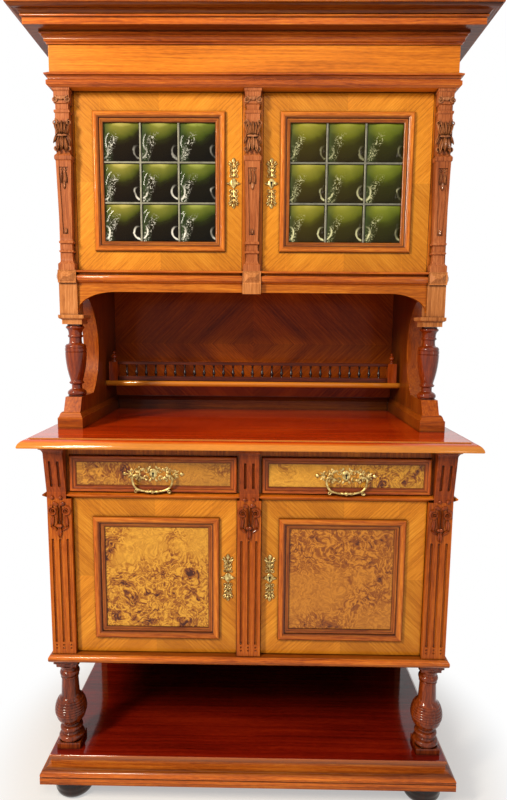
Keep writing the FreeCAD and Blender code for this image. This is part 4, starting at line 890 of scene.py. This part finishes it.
# Painted shade in the drawer moulding's quirks and painted highlight on its rounds.
front_shade_bands = [(0, 0.4), (1.5, 0.8), (3, 1), (7, 1), (9, 0.5), (10, 0.35), (12, 0.72),
               (15, 0.78), (16, 0.3), (17.5, 0.6), (19.5, 0.2)]
bottom, top, front = 0.9653, 1.0708, -0.245
for side, sign, shift, colours in (("left", -1, 4.7, ("#C88A2E", "#96601A")),
                                   ("right", 1, 9.4, ("#DCA034", "#B47A1E"))):
    drawer = "drawer_" + side
    low, high = sorted((sign * 0.036, sign * 0.5165))
    middle = sign * 0.27625
    edit(block_of((low, front, bottom), (high, -0.223, top)))
    pick_faces(lambda middle, normal: normal.y < -0.9)
    bpy.ops.mesh.inset(thickness=0.018, depth=0.0)
    bpy.ops.mesh.inset(thickness=0.002, depth=0.0008)
    settle(closed(), drawer + "_burl_board",
           burl("walnut_burl_%s_drawer" % side, (shift, 0, 2.1), *colours), "burl_veneer",
           drawer, drawer + "_front")
    strip_wood = timber("walnut_%s_drawer_moulding" % side, "#CC701E", "#A64C12", "#6E2A08",
                        centre=(middle, 0, 1.018), mitre=0.1875, shade_bands=(0.24025, front_shade_bands),
                        **mitred)
    settle(planted(low, high, bottom, top, front, front_moulding), drawer + "_moulding",
           strip_wood, "walnut_moulding", drawer, smooth=28)
    dress(box_wood, drawer + "_box")
    settle(backplate(middle, front, 1.018), drawer + "_pull_plate", brass, "brass_mount",
           drawer, drawer + "_pull", smooth=60)
    settle(keyhole(middle, -0.2493, 1.020), drawer + "_keyhole", iron, "steel_pin", drawer)
    settle(lock_case(middle, -0.223, 1.0393), drawer + "_lock_case", iron, "steel_pin", drawer)
    settle(bail(middle, -0.259, 1.018), drawer + "_swan_bail", brass, "brass_mount",
           "bail_" + side, drawer + "_bail", smooth=60)


# Counter: a thick walnut board with an ogee edge, stained red and polished like a mirror:
# orange-red and glossy where light falls, with wide faint stripes, a golden edge, and painted
# shade where other wood stands near it.
top_wood = timber("walnut_top_mirror_polished", "#E4500E", "#C83808", "#962204", polish=0.14,
                  coat=0.55, depth_shade=0.35, rim="#E08A26", **mirror_board)
dress(top_wood, "counter_top", edge=0.0012)


# Alcove: a low moulded plinth returns round it, and thick sides swept back in a deep curve
# stand on it, in front of a book-matched back laid as nested diamonds.
riser_steps = [(0.0001, 0.004), (0.00225, 0.001), (0.00495, 0.013), (0.0016, 0), (0.0001, 0.002)]
rear = 0.319
risers = []
for left, right, front in ((-0.582, -0.507, -0.146), (0.507, 0.582, -0.146),
                           (-0.525, 0.525, 0.293)):
    edit(block_of((left, front, 1.129), (right, rear, 1.158)))
    pick_faces(lambda middle, normal: normal.z > 0.9)
    for inward, rise in riser_steps:
        bpy.ops.mesh.inset(thickness=inward, depth=rise)
    pick_points(lambda spot: spot.y > 0.306)
    bpy.ops.transform.resize(value=(1, 0, 1), center_override=(0, rear, 0))
    risers.append(closed())
# The alcove's veneers, with painted shade where the shelf and the case above stand near:
# the sides go from brown to near black inwards, the back stays a dull orange.
riser_wood = timber("walnut_alcove_riser", "#C8701E", "#A85010", "#743006", across=level_grain,
                    crease_shade_and_edge_light=0.85, depth_shade=0.8)
settle(joined(*risers), "moulded_alcove_riser", riser_wood, "walnut_veneer", "case",
       "alcove_riser", smooth=28)
back_wood = timber("walnut_matched_alcove_back", "#DE7418", "#B2500C", "#742C04", stripe=4,
                   fold="diamond", centre=(0, 0, 1.374), coat=0.05, wave=0.008, depth_shade=0.2)
dress(back_wood, "alcove_back_panel")
alcove_wood = timber("walnut_alcove_side", "#CC741E", "#AC5210", "#783008", crease_shade_and_edge_light=0.6, depth_shade=0.9)
sides = []
for left, right in ((-0.566, -0.516), (0.516, 0.566)):
    board = block_of((left, -0.054, 1.222), (right, rear, 1.580))
    bpy.ops.mesh.primitive_cylinder_add(
        vertices=128, radius=0.176, depth=0.2, location=((left + right) / 2, -0.099, 1.363),
        rotation=(0, math.radians(90), 0))
    sides.append(carve(board, bpy.context.object))
    edit(block_of((left, -0.137, 1.178), (right, rear, 1.222)))
    pick_points(lambda spot: spot.z > 1.2 and spot.y < 0)
    bpy.ops.transform.translate(value=(0, 0.021, 0))
    sides.append(closed())
settle(joined(*sides), "swept_alcove_sides", alcove_wood, "walnut_veneer", "case",
       "alcove_sides", smooth=30)


# Alcove columns and posts: slim vase turnings under stepped square caps, and square posts
# on them that carry the front corners of the upper case.
column_line = rounds([
    (24, 0), (26, 1), (26, 3), (28, 11, 0.3), (26.5, 15, 0.2), (17, 22, 0.15),
    (15.6, 26, -0.2), (15.6, 35), (17, 37), (22.6, 41, 0.4), (21, 44, 0.3), (18.5, 48, -0.3),
    (19, 50), (32, 133, 0.07), (32, 135), (30.5, 136), (32, 138), (32, 147), (30.5, 148),
    (31.5, 150), (26, 160, 0.3), (19.5, 164, -0.3), (19, 180, -0.08), (22.4, 184, 0.4),
    (20, 188, 0.3), (23, 204, -0.15), (26, 207), (26, 214, 0.5), (23, 216), (23, 220)], 5)
cap_line = rounds([(29.6, 0), (29.6, 12.5), (33, 15.5, -0.3), (38, 20, 0.3), (38, 28)])
# Red mahogany stain under French polish: wine brown, with a hard bright line down each
# round. The posts are only waxed, and painted paler and pinker for the window's sheen on them.
turned_wood = timber("walnut_turned_red_polish", "#9E4612", "#782C08", "#4C1604", stripe=9,
                     polish=0.15, coat=0.5, crease_shade_and_edge_light=0.88)
sheen_post_wood = timber("walnut_post_pale_polish", "#D49058", "#B8733C", "#8A4C20", crease_shade_and_edge_light=0.9)
axis = (0.541, -0.081)
column = turning(column_line, *axis, 1.222)
settle(joined(column, copied(column, mirror=True)), "turned_alcove_columns", turned_wood,
       "turned_walnut", "case", "alcove_columns", smooth=30)
post = joined(turning(cap_line, *axis, 1.442, square=True),
              block_of((0.523, -0.108, 1.470), (0.577, -0.054, 1.565)),
              block_of((0.523, -0.086, 1.565), (0.577, -0.054, 1.580)))
settle(joined(post, copied(post, mirror=True)), "capped_upper_posts", sheen_post_wood,
       "walnut_veneer", "case", "upper_posts", smooth=30)


# Gallery: a shelf across the alcove with twenty-seven small turned spindles between two
# rails, ended by square posts with turned finials. The rails are stained a deep, even
# brown, a shade lighter than the black spindles.
gallery_wood = timber("walnut_gallery_polished", "#6A2A0C", "#4C1A06", "#2E0D03",
                      across=level_grain, stripe=5, crease_shade_and_edge_light=0.7)
dress(top_wood, "gallery_shelf", edge=0.0015)
dress(gallery_wood, "gallery_rails", edge=0.0012)
spindle_line = rounds([(4.2, 0), (4.2, 2), (2.6, 4), (5.4, 11, 0.25), (5.6, 14), (3.0, 26, -0.1),
                       (2.4, 31), (4.0, 33, 0.4), (2.6, 35), (4.4, 39, 0.2), (4.4, 41)], 3)
first = turning(spindle_line, -0.4446, 0.174, 1.262, 12)
spindles = [copied(first, x=0.0342 * i) for i in range(1, 27)]
settle(joined(first, *spindles), "turned_gallery_spindles", black, "turned_walnut", "case",
       "gallery_spindles", smooth=40)
finial_line = rounds([(9, 0), (9, 4), (4.5, 7, -0.3), (4.4, 10), (9.5, 18, 0.35), (7, 24, 0.2),
                      (3.4, 28, -0.2), (5.2, 31, 0.4), (4.6, 33, 0.3), (0.3, 37, 0.2)], 4)
post = turning([(15, 0), (15, 63.5), (13.8, 67)], 0.489, 0.174, 1.246, square=True)
post = joined(post, turning(finial_line, 0.489, 0.174, 1.313, 20))
settle(joined(post, copied(post, mirror=True)), "gallery_posts_with_finials", turned_wood,
       "turned_walnut", "case", "gallery_posts", smooth=40)


# Upper case: its boards, face frame, and the apron, sawn from one board with an arched
# bracket at each end, with a small moulding along its top.
dress(upright_wood, "upper_face_frame", edge=0.0008)
dress(level_wood, "upper_boards", edge=0.0008)
dress(mould_wood, "apron_moulding", edge=0.0006)
apron = block_of((-0.523, -0.100, 1.484), (0.523, -0.086, 1.602))
middle = (0, -0.093, 1.484)
bpy.ops.mesh.primitive_cylinder_add(vertices=160, radius=1, depth=0.1, location=middle,
                                    rotation=(math.radians(90), 0, 0))
edit(applied(), "SELECT")
bpy.ops.transform.resize(value=(0.115, 1, 0.056), center_override=middle)
for s in (-1, 1):
    pick_points(lambda spot: spot.x * s > 0.001)
    bpy.ops.transform.translate(value=(s * 0.408, 0, 0))
settle(carve(apron, closed()), "arched_apron", level_wood, "walnut_veneer", "case",
       "apron_rail", smooth=20)


# Upper pilasters: slim tapering uprights built up of square mouldings, with a sunk panel,
# an acanthus console and a small scrolled capital. The pointed blocks stand below them.
def acanthus(x, y):
    """The carved console: two tiers of leaf lobes with curled tips, scrolls at the top."""
    parts = [lobe(x + s * 0.0078, y - 0.003 + 0.0012 * abs(s), 2.002 - 0.002 * abs(s), 0.0098,
                  0.042, 0.007, s * -9, -0.002) for s in (-2, -1, 0, 1, 2)]
    parts += [lobe(x + s * 0.0105, y - 0.002, 1.960 - 0.004 * abs(s), 0.0125, 0.044, 0.007,
                   s * 10, 0.007) for s in (-1, 0, 1)]
    for s in (-1, 1):
        parts += [lobe(x + s * 0.0205, y + 0.002, 1.974, 0.009, 0.030, 0.006, s * 20, 0.004),
                  scroll(x + s * 0.0200, y - 0.001, 2.018, 0.0082, 0.0028, 1.5, s, 90, 0.4, 10),
                  scroll(x + s * 0.0175, y - 0.001, 1.947, 0.0070, 0.0026, 1.4, s, -90, 0.4, 10)]
    return joined(*parts, lobe(x, y - 0.001, 1.982, 0.034, 0.009, 0.006))


stack_line = rounds([
    (24.5, 0), (24.5, 18), (22, 20), (16.5, 32, -0.15), (16.5, 36), (16, 50), (20.5, 52),
    (21, 56), (16.5, 59), (16, 76), (20.5, 78), (21, 83), (17.5, 89, -0.2), (17.5, 95),
    (21.8, 309), (24.6, 314, -0.3), (25, 321), (22, 328, 0.2), (19, 332), (20, 338), (21, 372),
    (21, 424), (20, 428), (20, 441), (22.5, 444), (22.5, 450), (17.5, 453), (18.5, 467),
    (22, 469), (22, 492), (22, 494), (22, 500), (25, 504), (25, 510)], 4)
case_front, foot = -0.086, 1.602
stacks, leaves = [], []
for x in (-0.550, 0.0, 0.550):
    stack = turning(stack_line, x, -0.091, foot, square=True)
    edit(stack, "SELECT")
    bpy.ops.mesh.bisect(plane_co=(0, case_front, 0), plane_no=(0, 1, 0), use_fill=True,
                        clear_outer=True)
    closed()
    edit(block_of((x - 0.0085, -0.130, 1.706), (x + 0.0085, -0.1058, 1.896)))
    pick_faces(lambda middle, normal: normal.z > 0.9)
    bpy.ops.transform.translate(value=(0, -0.0039, 0))
    bpy.ops.transform.resize(value=(1.6, 1, 1), center_override=(x, 0, 1.896))
    stacks.append(carve(stack, closed()))
    parts = [acanthus(x, -0.113)]
    for s in (-1, 1):
        parts += [scroll(x + s * 0.0185, -0.1145, 2.0805, 0.0092, 0.0026, 1.9, s, 90, 0.3, 14),
                  lobe(x + s * 0.0185, -0.115, 2.0805, 0.006, 0.006, 0.004),
                  lobe(x + s * 0.0060, -0.1098, 1.868, 0.006, 0.036, 0.004, s * 5, 0.001),
                  scroll(x + s * 0.0058, -0.1104, 1.889, 0.0042, 0.0014, 1.2, s, 90, 0.4, 8)]
    parts += [lobe(x, -0.114, 2.084, 0.028, 0.012, 0.005),
              lobe(x, -0.1092, 1.846, 0.010, 0.024, 0.004, 0, 0.001),
              lobe(x, -0.1066, 1.716, 0.009, 0.018, 0.004, 0, 0.001)]
    leaves.append(joined(*parts))
# Pale pinkish brown walnut, its paleness partly a painted sheen, with painted shade under
# every step. The leaves on it are paler, with painted highlight on their ridges and painted
# shade in their veins.
sheen_pilaster_wood = timber("walnut_pilaster_pale_polish", "#C67C4A", "#A65C30", "#763818", stripe=4,
                   crease_shade_and_edge_light=0.92)
leaf_wood = timber("walnut_carved_leaf_polished", "#CC8C60", "#A4663C", "#6A381C", stripe=5,
                   polish=0.28, coat=0.3, crease_shade_and_edge_light=0.95)
settle(joined(*stacks), "stepped_upper_pilasters", sheen_pilaster_wood, "walnut_moulding", "case",
       "upper_pilasters", smooth=25)
settle(joined(*leaves), "carved_acanthus_consoles", leaf_wood, "turned_walnut", "case",
       smooth=50)

blocks = []
for x in (-0.550, 0.0, 0.550):
    edit(block_of((x - 0.027, -0.116, 1.565), (x + 0.027, case_front if x else -0.100, foot)))
    pick_faces(lambda middle, normal: normal.y < -0.9)
    bpy.ops.mesh.inset(thickness=0.004, depth=-0.002)
    bpy.ops.mesh.inset(thickness=0.0142, depth=0.0095)
    if x:
        outward = math.copysign(1, x)
        pick_faces(lambda middle, normal: normal.x * outward > 0.9)
        bpy.ops.mesh.inset(thickness=0.003, depth=0.0)
        bpy.ops.mesh.inset(thickness=0.0118, depth=0.0080)
    blocks.append(closed())
blocks.append(block_of((-0.027, -0.116, 1.535), (0.027, -0.100, 1.565)))
settle(joined(*blocks), "pointed_blocks", sheen_post_wood, "walnut_moulding", "case",
       "pyramid_blocks", smooth=20)


# Upper doors: the same mitred veneer and bolection, round nine bulged panes of olive
# glass each, held in soft lead cames with soldered joints.
def blown_glass(name, left, foot, pitch, tint, shades, glint):
    """Olive glass, mouth-blown, with a painted reflection on each pane: pale in a bowl at its
    top and dark below it, painted highlight streaks down its left, and painted highlight
    rings round its lower corners. `left` and `foot` are where the panes start, and `pitch` is
    from one to the next. Along a pane, sizes are shares of that pitch, and its middle is at 0."""
    material, tree = blank(name)
    place = add(tree, "TexCoord").outputs["Object"]
    moved = add(tree, "Mapping", {"Vector": place, "Location": (-left, 0, -foot)})
    spot = add(tree, "SeparateXYZ", {"Vector": moved}).outputs
    grid = add(tree, "VectorMath", {0: moved, 1: pitch}, operation="DIVIDE")
    within = add(tree, "VectorMath", {0: grid}, operation="FRACTION")
    middle = add(tree, "VectorMath", {0: within, 1: (0.475, 0, 0.475)}, operation="SUBTRACT")
    middle = add(tree, "VectorMath", {0: middle, 1: (1, 0, 1)}, operation="MULTIPLY")
    swirls = add(tree, "TexNoise", {"Vector": moved, "Scale": 16.0, "Detail": 3.0,
                                    "Distortion": 1.0})
    shake = add(tree, "VectorMath", {0: swirls.outputs["Color"], "Scale": 0.16}, operation="SCALE")
    wavy = add(tree, "VectorMath", {0: middle, 1: shake}, operation="ADD")
    axes = add(tree, "SeparateXYZ", {"Vector": wavy}).outputs
    aside = add(tree, "Math", {0: axes["X"], 1: 0.08}, operation="SUBTRACT")
    squared = add(tree, "Math", {0: aside, 1: aside}, operation="MULTIPLY")
    bowl = add(tree, "Math", {0: squared, 1: -1.3, 2: axes["Z"]}, operation="MULTIPLY_ADD")
    depth = add(tree, "MapRange", {"Value": bowl, "From Min": -0.40, "From Max": 0.56})
    body = graded(add(tree, "ValToRGB", {"Fac": depth}),
                  list(zip((0.0, 0.38, 0.50, 0.60, 0.84, 1.0), map(tone, shades))))

    # Painted highlight streaks: fine pale lines in a slanting band down the left of each pane.
    slant = add(tree, "Math", {0: axes["Z"], 1: -0.45, 2: axes["X"]}, operation="MULTIPLY_ADD")
    slant = add(tree, "Math", {0: slant, 1: 0.17}, operation="ADD")
    slant = add(tree, "Math", {0: slant}, operation="ABSOLUTE")
    band = add(tree, "MapRange", {"Value": slant, "From Min": 0.15, "From Max": 0.05},
               interpolation_type="SMOOTHSTEP")
    under = add(tree, "MapRange", {"Value": axes["Z"], "From Min": 0.34, "From Max": 0.14})
    band = add(tree, "Math", {0: band, 1: under}, operation="MULTIPLY")
    tears = add(tree, "TexNoise", {"Vector": moved, "Scale": 95.0, "Detail": 2.0,
                                   "Distortion": 2.5})
    tears = add(tree, "MapRange", {"Value": tears, "From Min": 0.54, "From Max": 0.62})
    streak_highlight = add(tree, "Math", {0: band, 1: tears}, operation="MULTIPLY")
    streak_highlight = add(tree, "Math", {0: streak_highlight, 1: 0.6}, operation="MULTIPLY")

    # Painted highlight rings: part of a ring about each lower corner. They weaken row by row
    # towards the top, as the room's light comes from low down.
    edge = add(tree, "Math", {0: aside}, operation="ABSOLUTE")
    corner = add(tree, "CombineXYZ", {"X": edge, "Z": axes["Z"]})
    corner = add(tree, "VectorMath", {0: corner, 1: (0.50, 0, -0.14)}, operation="SUBTRACT")
    corner = add(tree, "VectorMath", {0: corner}, operation="LENGTH").outputs["Value"]
    off = add(tree, "Math", {0: corner, 1: 0.17}, operation="SUBTRACT")
    off = add(tree, "Math", {0: off}, operation="ABSOLUTE")
    ring = add(tree, "MapRange", {"Value": off, "From Min": 0.034, "From Max": 0.006},
               interpolation_type="SMOOTHSTEP")
    below = add(tree, "MapRange", {"Value": axes["Z"], "From Min": 0.02, "From Max": -0.12})
    broken = add(tree, "MapRange", {"Value": swirls, "From Min": 0.40, "From Max": 0.56,
                                    "To Min": 0.12})
    lower = add(tree, "MapRange", {"Value": spot["Z"], "From Min": 0.30, "From Max": 0.06,
                                   "To Min": 0.2})
    for weaker in (below, broken, lower):
        ring = add(tree, "Math", {0: ring, 1: weaker}, operation="MULTIPLY")
    caught = add(tree, "Math", {0: streak_highlight, 1: ring}, operation="MAXIMUM")

    # The glass turns from brown olive to green across the window, and the painted reflection
    # darkens each pane towards its left edge.
    greener = add(tree, "MapRange", {"Value": spot["X"], "From Min": 0.04, "From Max": 0.30})
    cast = add(tree, "Mix", {"Factor": greener, "A": tone("#FFF6DC"), "B": tone("#CFE2B4")},
               data_type="RGBA").outputs["Result"]
    side = add(tree, "MapRange", {"Value": axes["X"], "From Min": -0.12, "From Max": -0.42,
                                  "To Max": 0.7})
    colour = add(tree, "Mix", {"Factor": side, "A": body, "B": tone("#44583C")},
                 data_type="RGBA").outputs["Result"]
    colour = add(tree, "Mix", {"Factor": 1.0, "A": colour, "B": cast}, data_type="RGBA",
                 blend_type="MULTIPLY").outputs["Result"]
    colour = add(tree, "Mix", {"Factor": caught, "A": colour, "B": tone(glint)},
                 data_type="RGBA").outputs["Result"]
    spread = add(tree, "VectorMath", {0: wavy}, operation="LENGTH").outputs["Value"]
    rings = add(tree, "Math", {0: spread, 1: 20.0}, operation="MULTIPLY")
    rings = add(tree, "Math", {0: rings}, operation="SINE")
    ripple = add(tree, "Bump", {"Height": rings, "Strength": 0.16, "Distance": 0.0016})
    clear = add(tree, "BsdfPrincipled", {"Base Color": tone(tint), "Normal": ripple,
                                         "Roughness": 0.02, "Transmission Weight": 1.0,
                                         "IOR": 1.5})
    tinted = add(tree, "BsdfPrincipled", {"Base Color": colour, "Normal": ripple,
                                          "Roughness": 0.04, "IOR": 1.5,
                                          "Specular IOR Level": 0.06})
    blend = add(tree, "MixShader", {0: 0.9, 1: clear, 2: tinted})
    add(tree, "OutputMaterial", {"Surface": blend})
    return material


def pane(x, z, wide, high):
    """A pane of glass blown into a shallow dome, three millimetres thick."""
    middle = Vector((x, -0.079, z))
    bpy.ops.mesh.primitive_grid_add(x_subdivisions=20, y_subdivisions=20, size=1, location=middle,
                                    rotation=(math.radians(90), 0, 0))
    bpy.context.object.scale = (wide, high, 1)
    edit(applied())
    pick_points(lambda spot: (spot - middle).length < 0.0005)
    bpy.ops.transform.translate(value=(0, -0.0085, 0), use_proportional_edit=True,
                                proportional_edit_falloff="SPHERE", proportional_size=wide * 0.52)
    bpy.ops.mesh.select_all(action="SELECT")
    bpy.ops.mesh.vertices_smooth(factor=0.5, repeat=2)
    piece = closed()
    wall = piece.modifiers.new("thickness", "SOLIDIFY")
    wall.thickness = 0.003
    wall.offset = -1
    bpy.ops.object.modifier_apply(modifier=wall.name)
    return piece


# Drawn lead, handled and oxidised: soft grey with a brown cast, hardly any shine, and a
# bloom in patches of 11 mm.
lead = metal("lead_came_dull", "#5C5A4C", "#94907C", 90.0, metallic=0.8)
came, first_left, foot = 0.006, 0.108, 1.688
wide, tall = (0.345 - 4 * came) / 3, (0.354 - 4 * came) / 3
pitch = (wide + came, 1, tall + came)
# The left door's glass is painted with the reflection of a darker part of the room: black to
# straw, with white glints, where the right one stays an even olive.
for side, sign, left, shades, glint in (
    ("left", -1, -0.441, ("#160E04", "#1E1606", "#2C2C0C", "#4E561A", "#80823A", "#CCC67E"),
     "#FFFFF4"),
    ("right", 1, first_left, ("#30280A", "#3C380E", "#4E4E14", "#6C7020", "#8E9038", "#B2B05C"),
     "#E4E6B4"),
):
    body = "upper_door_" + side
    centre = (sign * 0.2745, 0, 1.859)
    door_wood = timber("walnut_mitred_%s_upper_door" % side, "#EAA236", "#D28420", "#A25A10",
                       centre=centre, **star_veneer)
    upper_shade_bands = [(mm * 30 / 33, shade) for mm, shade in bolection_shade_bands]
    strip_wood = timber("walnut_%s_upper_bolection" % side, "#DC882A", "#BE661A", "#80380C",
                        centre=centre, mitre=-0.0045, shade_bands=(0.1945, upper_shade_bands), **mitred)
    dress(door_wood, body + "_frame")
    low, high = sorted((sign * 0.080, sign * 0.469))
    profile = [(height * 10 / 11, inward * 30 / 33) for height, inward in bolection]
    settle(planted(low, high, 1.660, 2.058, -0.086, profile), body + "_bolection", strip_wood,
           "walnut_moulding", body, body + "_moulding", smooth=28)
    dress(lead, body + "_cames", edge=0.0014)
    across = [sign * (first_left + wide / 2 + i * (wide + came)) for i in range(3)]
    upwards = [foot + tall / 2 + i * (tall + came) for i in range(3)]
    panes = [pane(x, z, wide, tall) for x in across for z in upwards]
    glass = blown_glass("olive_glass_blown_" + side, left, foot, pitch, "#7E8A3A", shades, glint)
    settle(joined(*panes), body + "_bulged_panes", glass, "leaded_glass", body, body + "_glass",
           smooth=60)


# Entablature: a plain frieze with straight level grain, a moulding under and over it, and
# the cornice that the photograph cuts at its top. The frieze is the palest wood, a clear
# gold; the mouldings are redder, with painted shade under the cornice and in their quirks.
frieze_wood = timber("walnut_frieze_straight", "#E68E26", "#CE741A", "#9E500C",
                     across=level_grain, stripe=5, length=300, wave=0.01, crease_shade_and_edge_light=0.8)
dress(frieze_wood, "frieze", edge=0.0008)
shaded = {"depth_shade": 0.85, "reach": 0.05}
frieze_moulding = timber("walnut_frieze_moulding", "#C86E1E", "#A85012", "#722C08", crease_shade_and_edge_light=0.9,
                         **shaded, **planed)
dress(frieze_moulding, "frieze_mouldings", edge=0.0008)
# Painted shade in the cornice's quirks and painted highlight on its fascias.
cornice_shade_bands = [(0, 0.35), (1.5, 0.85), (15.5, 0.95), (18, 0.4), (20, 0.9), (25, 0.85),
                 (27, 0.25), (34, 0.42), (39, 0.3), (40.5, 0.6), (45, 0.42), (49, 0.3),
                 (50.9, 0.5)]
cornice_wood = timber("walnut_cornice_moulding", "#D47A20", "#B65A14", "#7E3408", crease_shade_and_edge_light=0.7,
                      shade_bands=(2.254, cornice_shade_bands), **shaded, **planed)
dress(cornice_wood, "cornice", edge=0.0008)
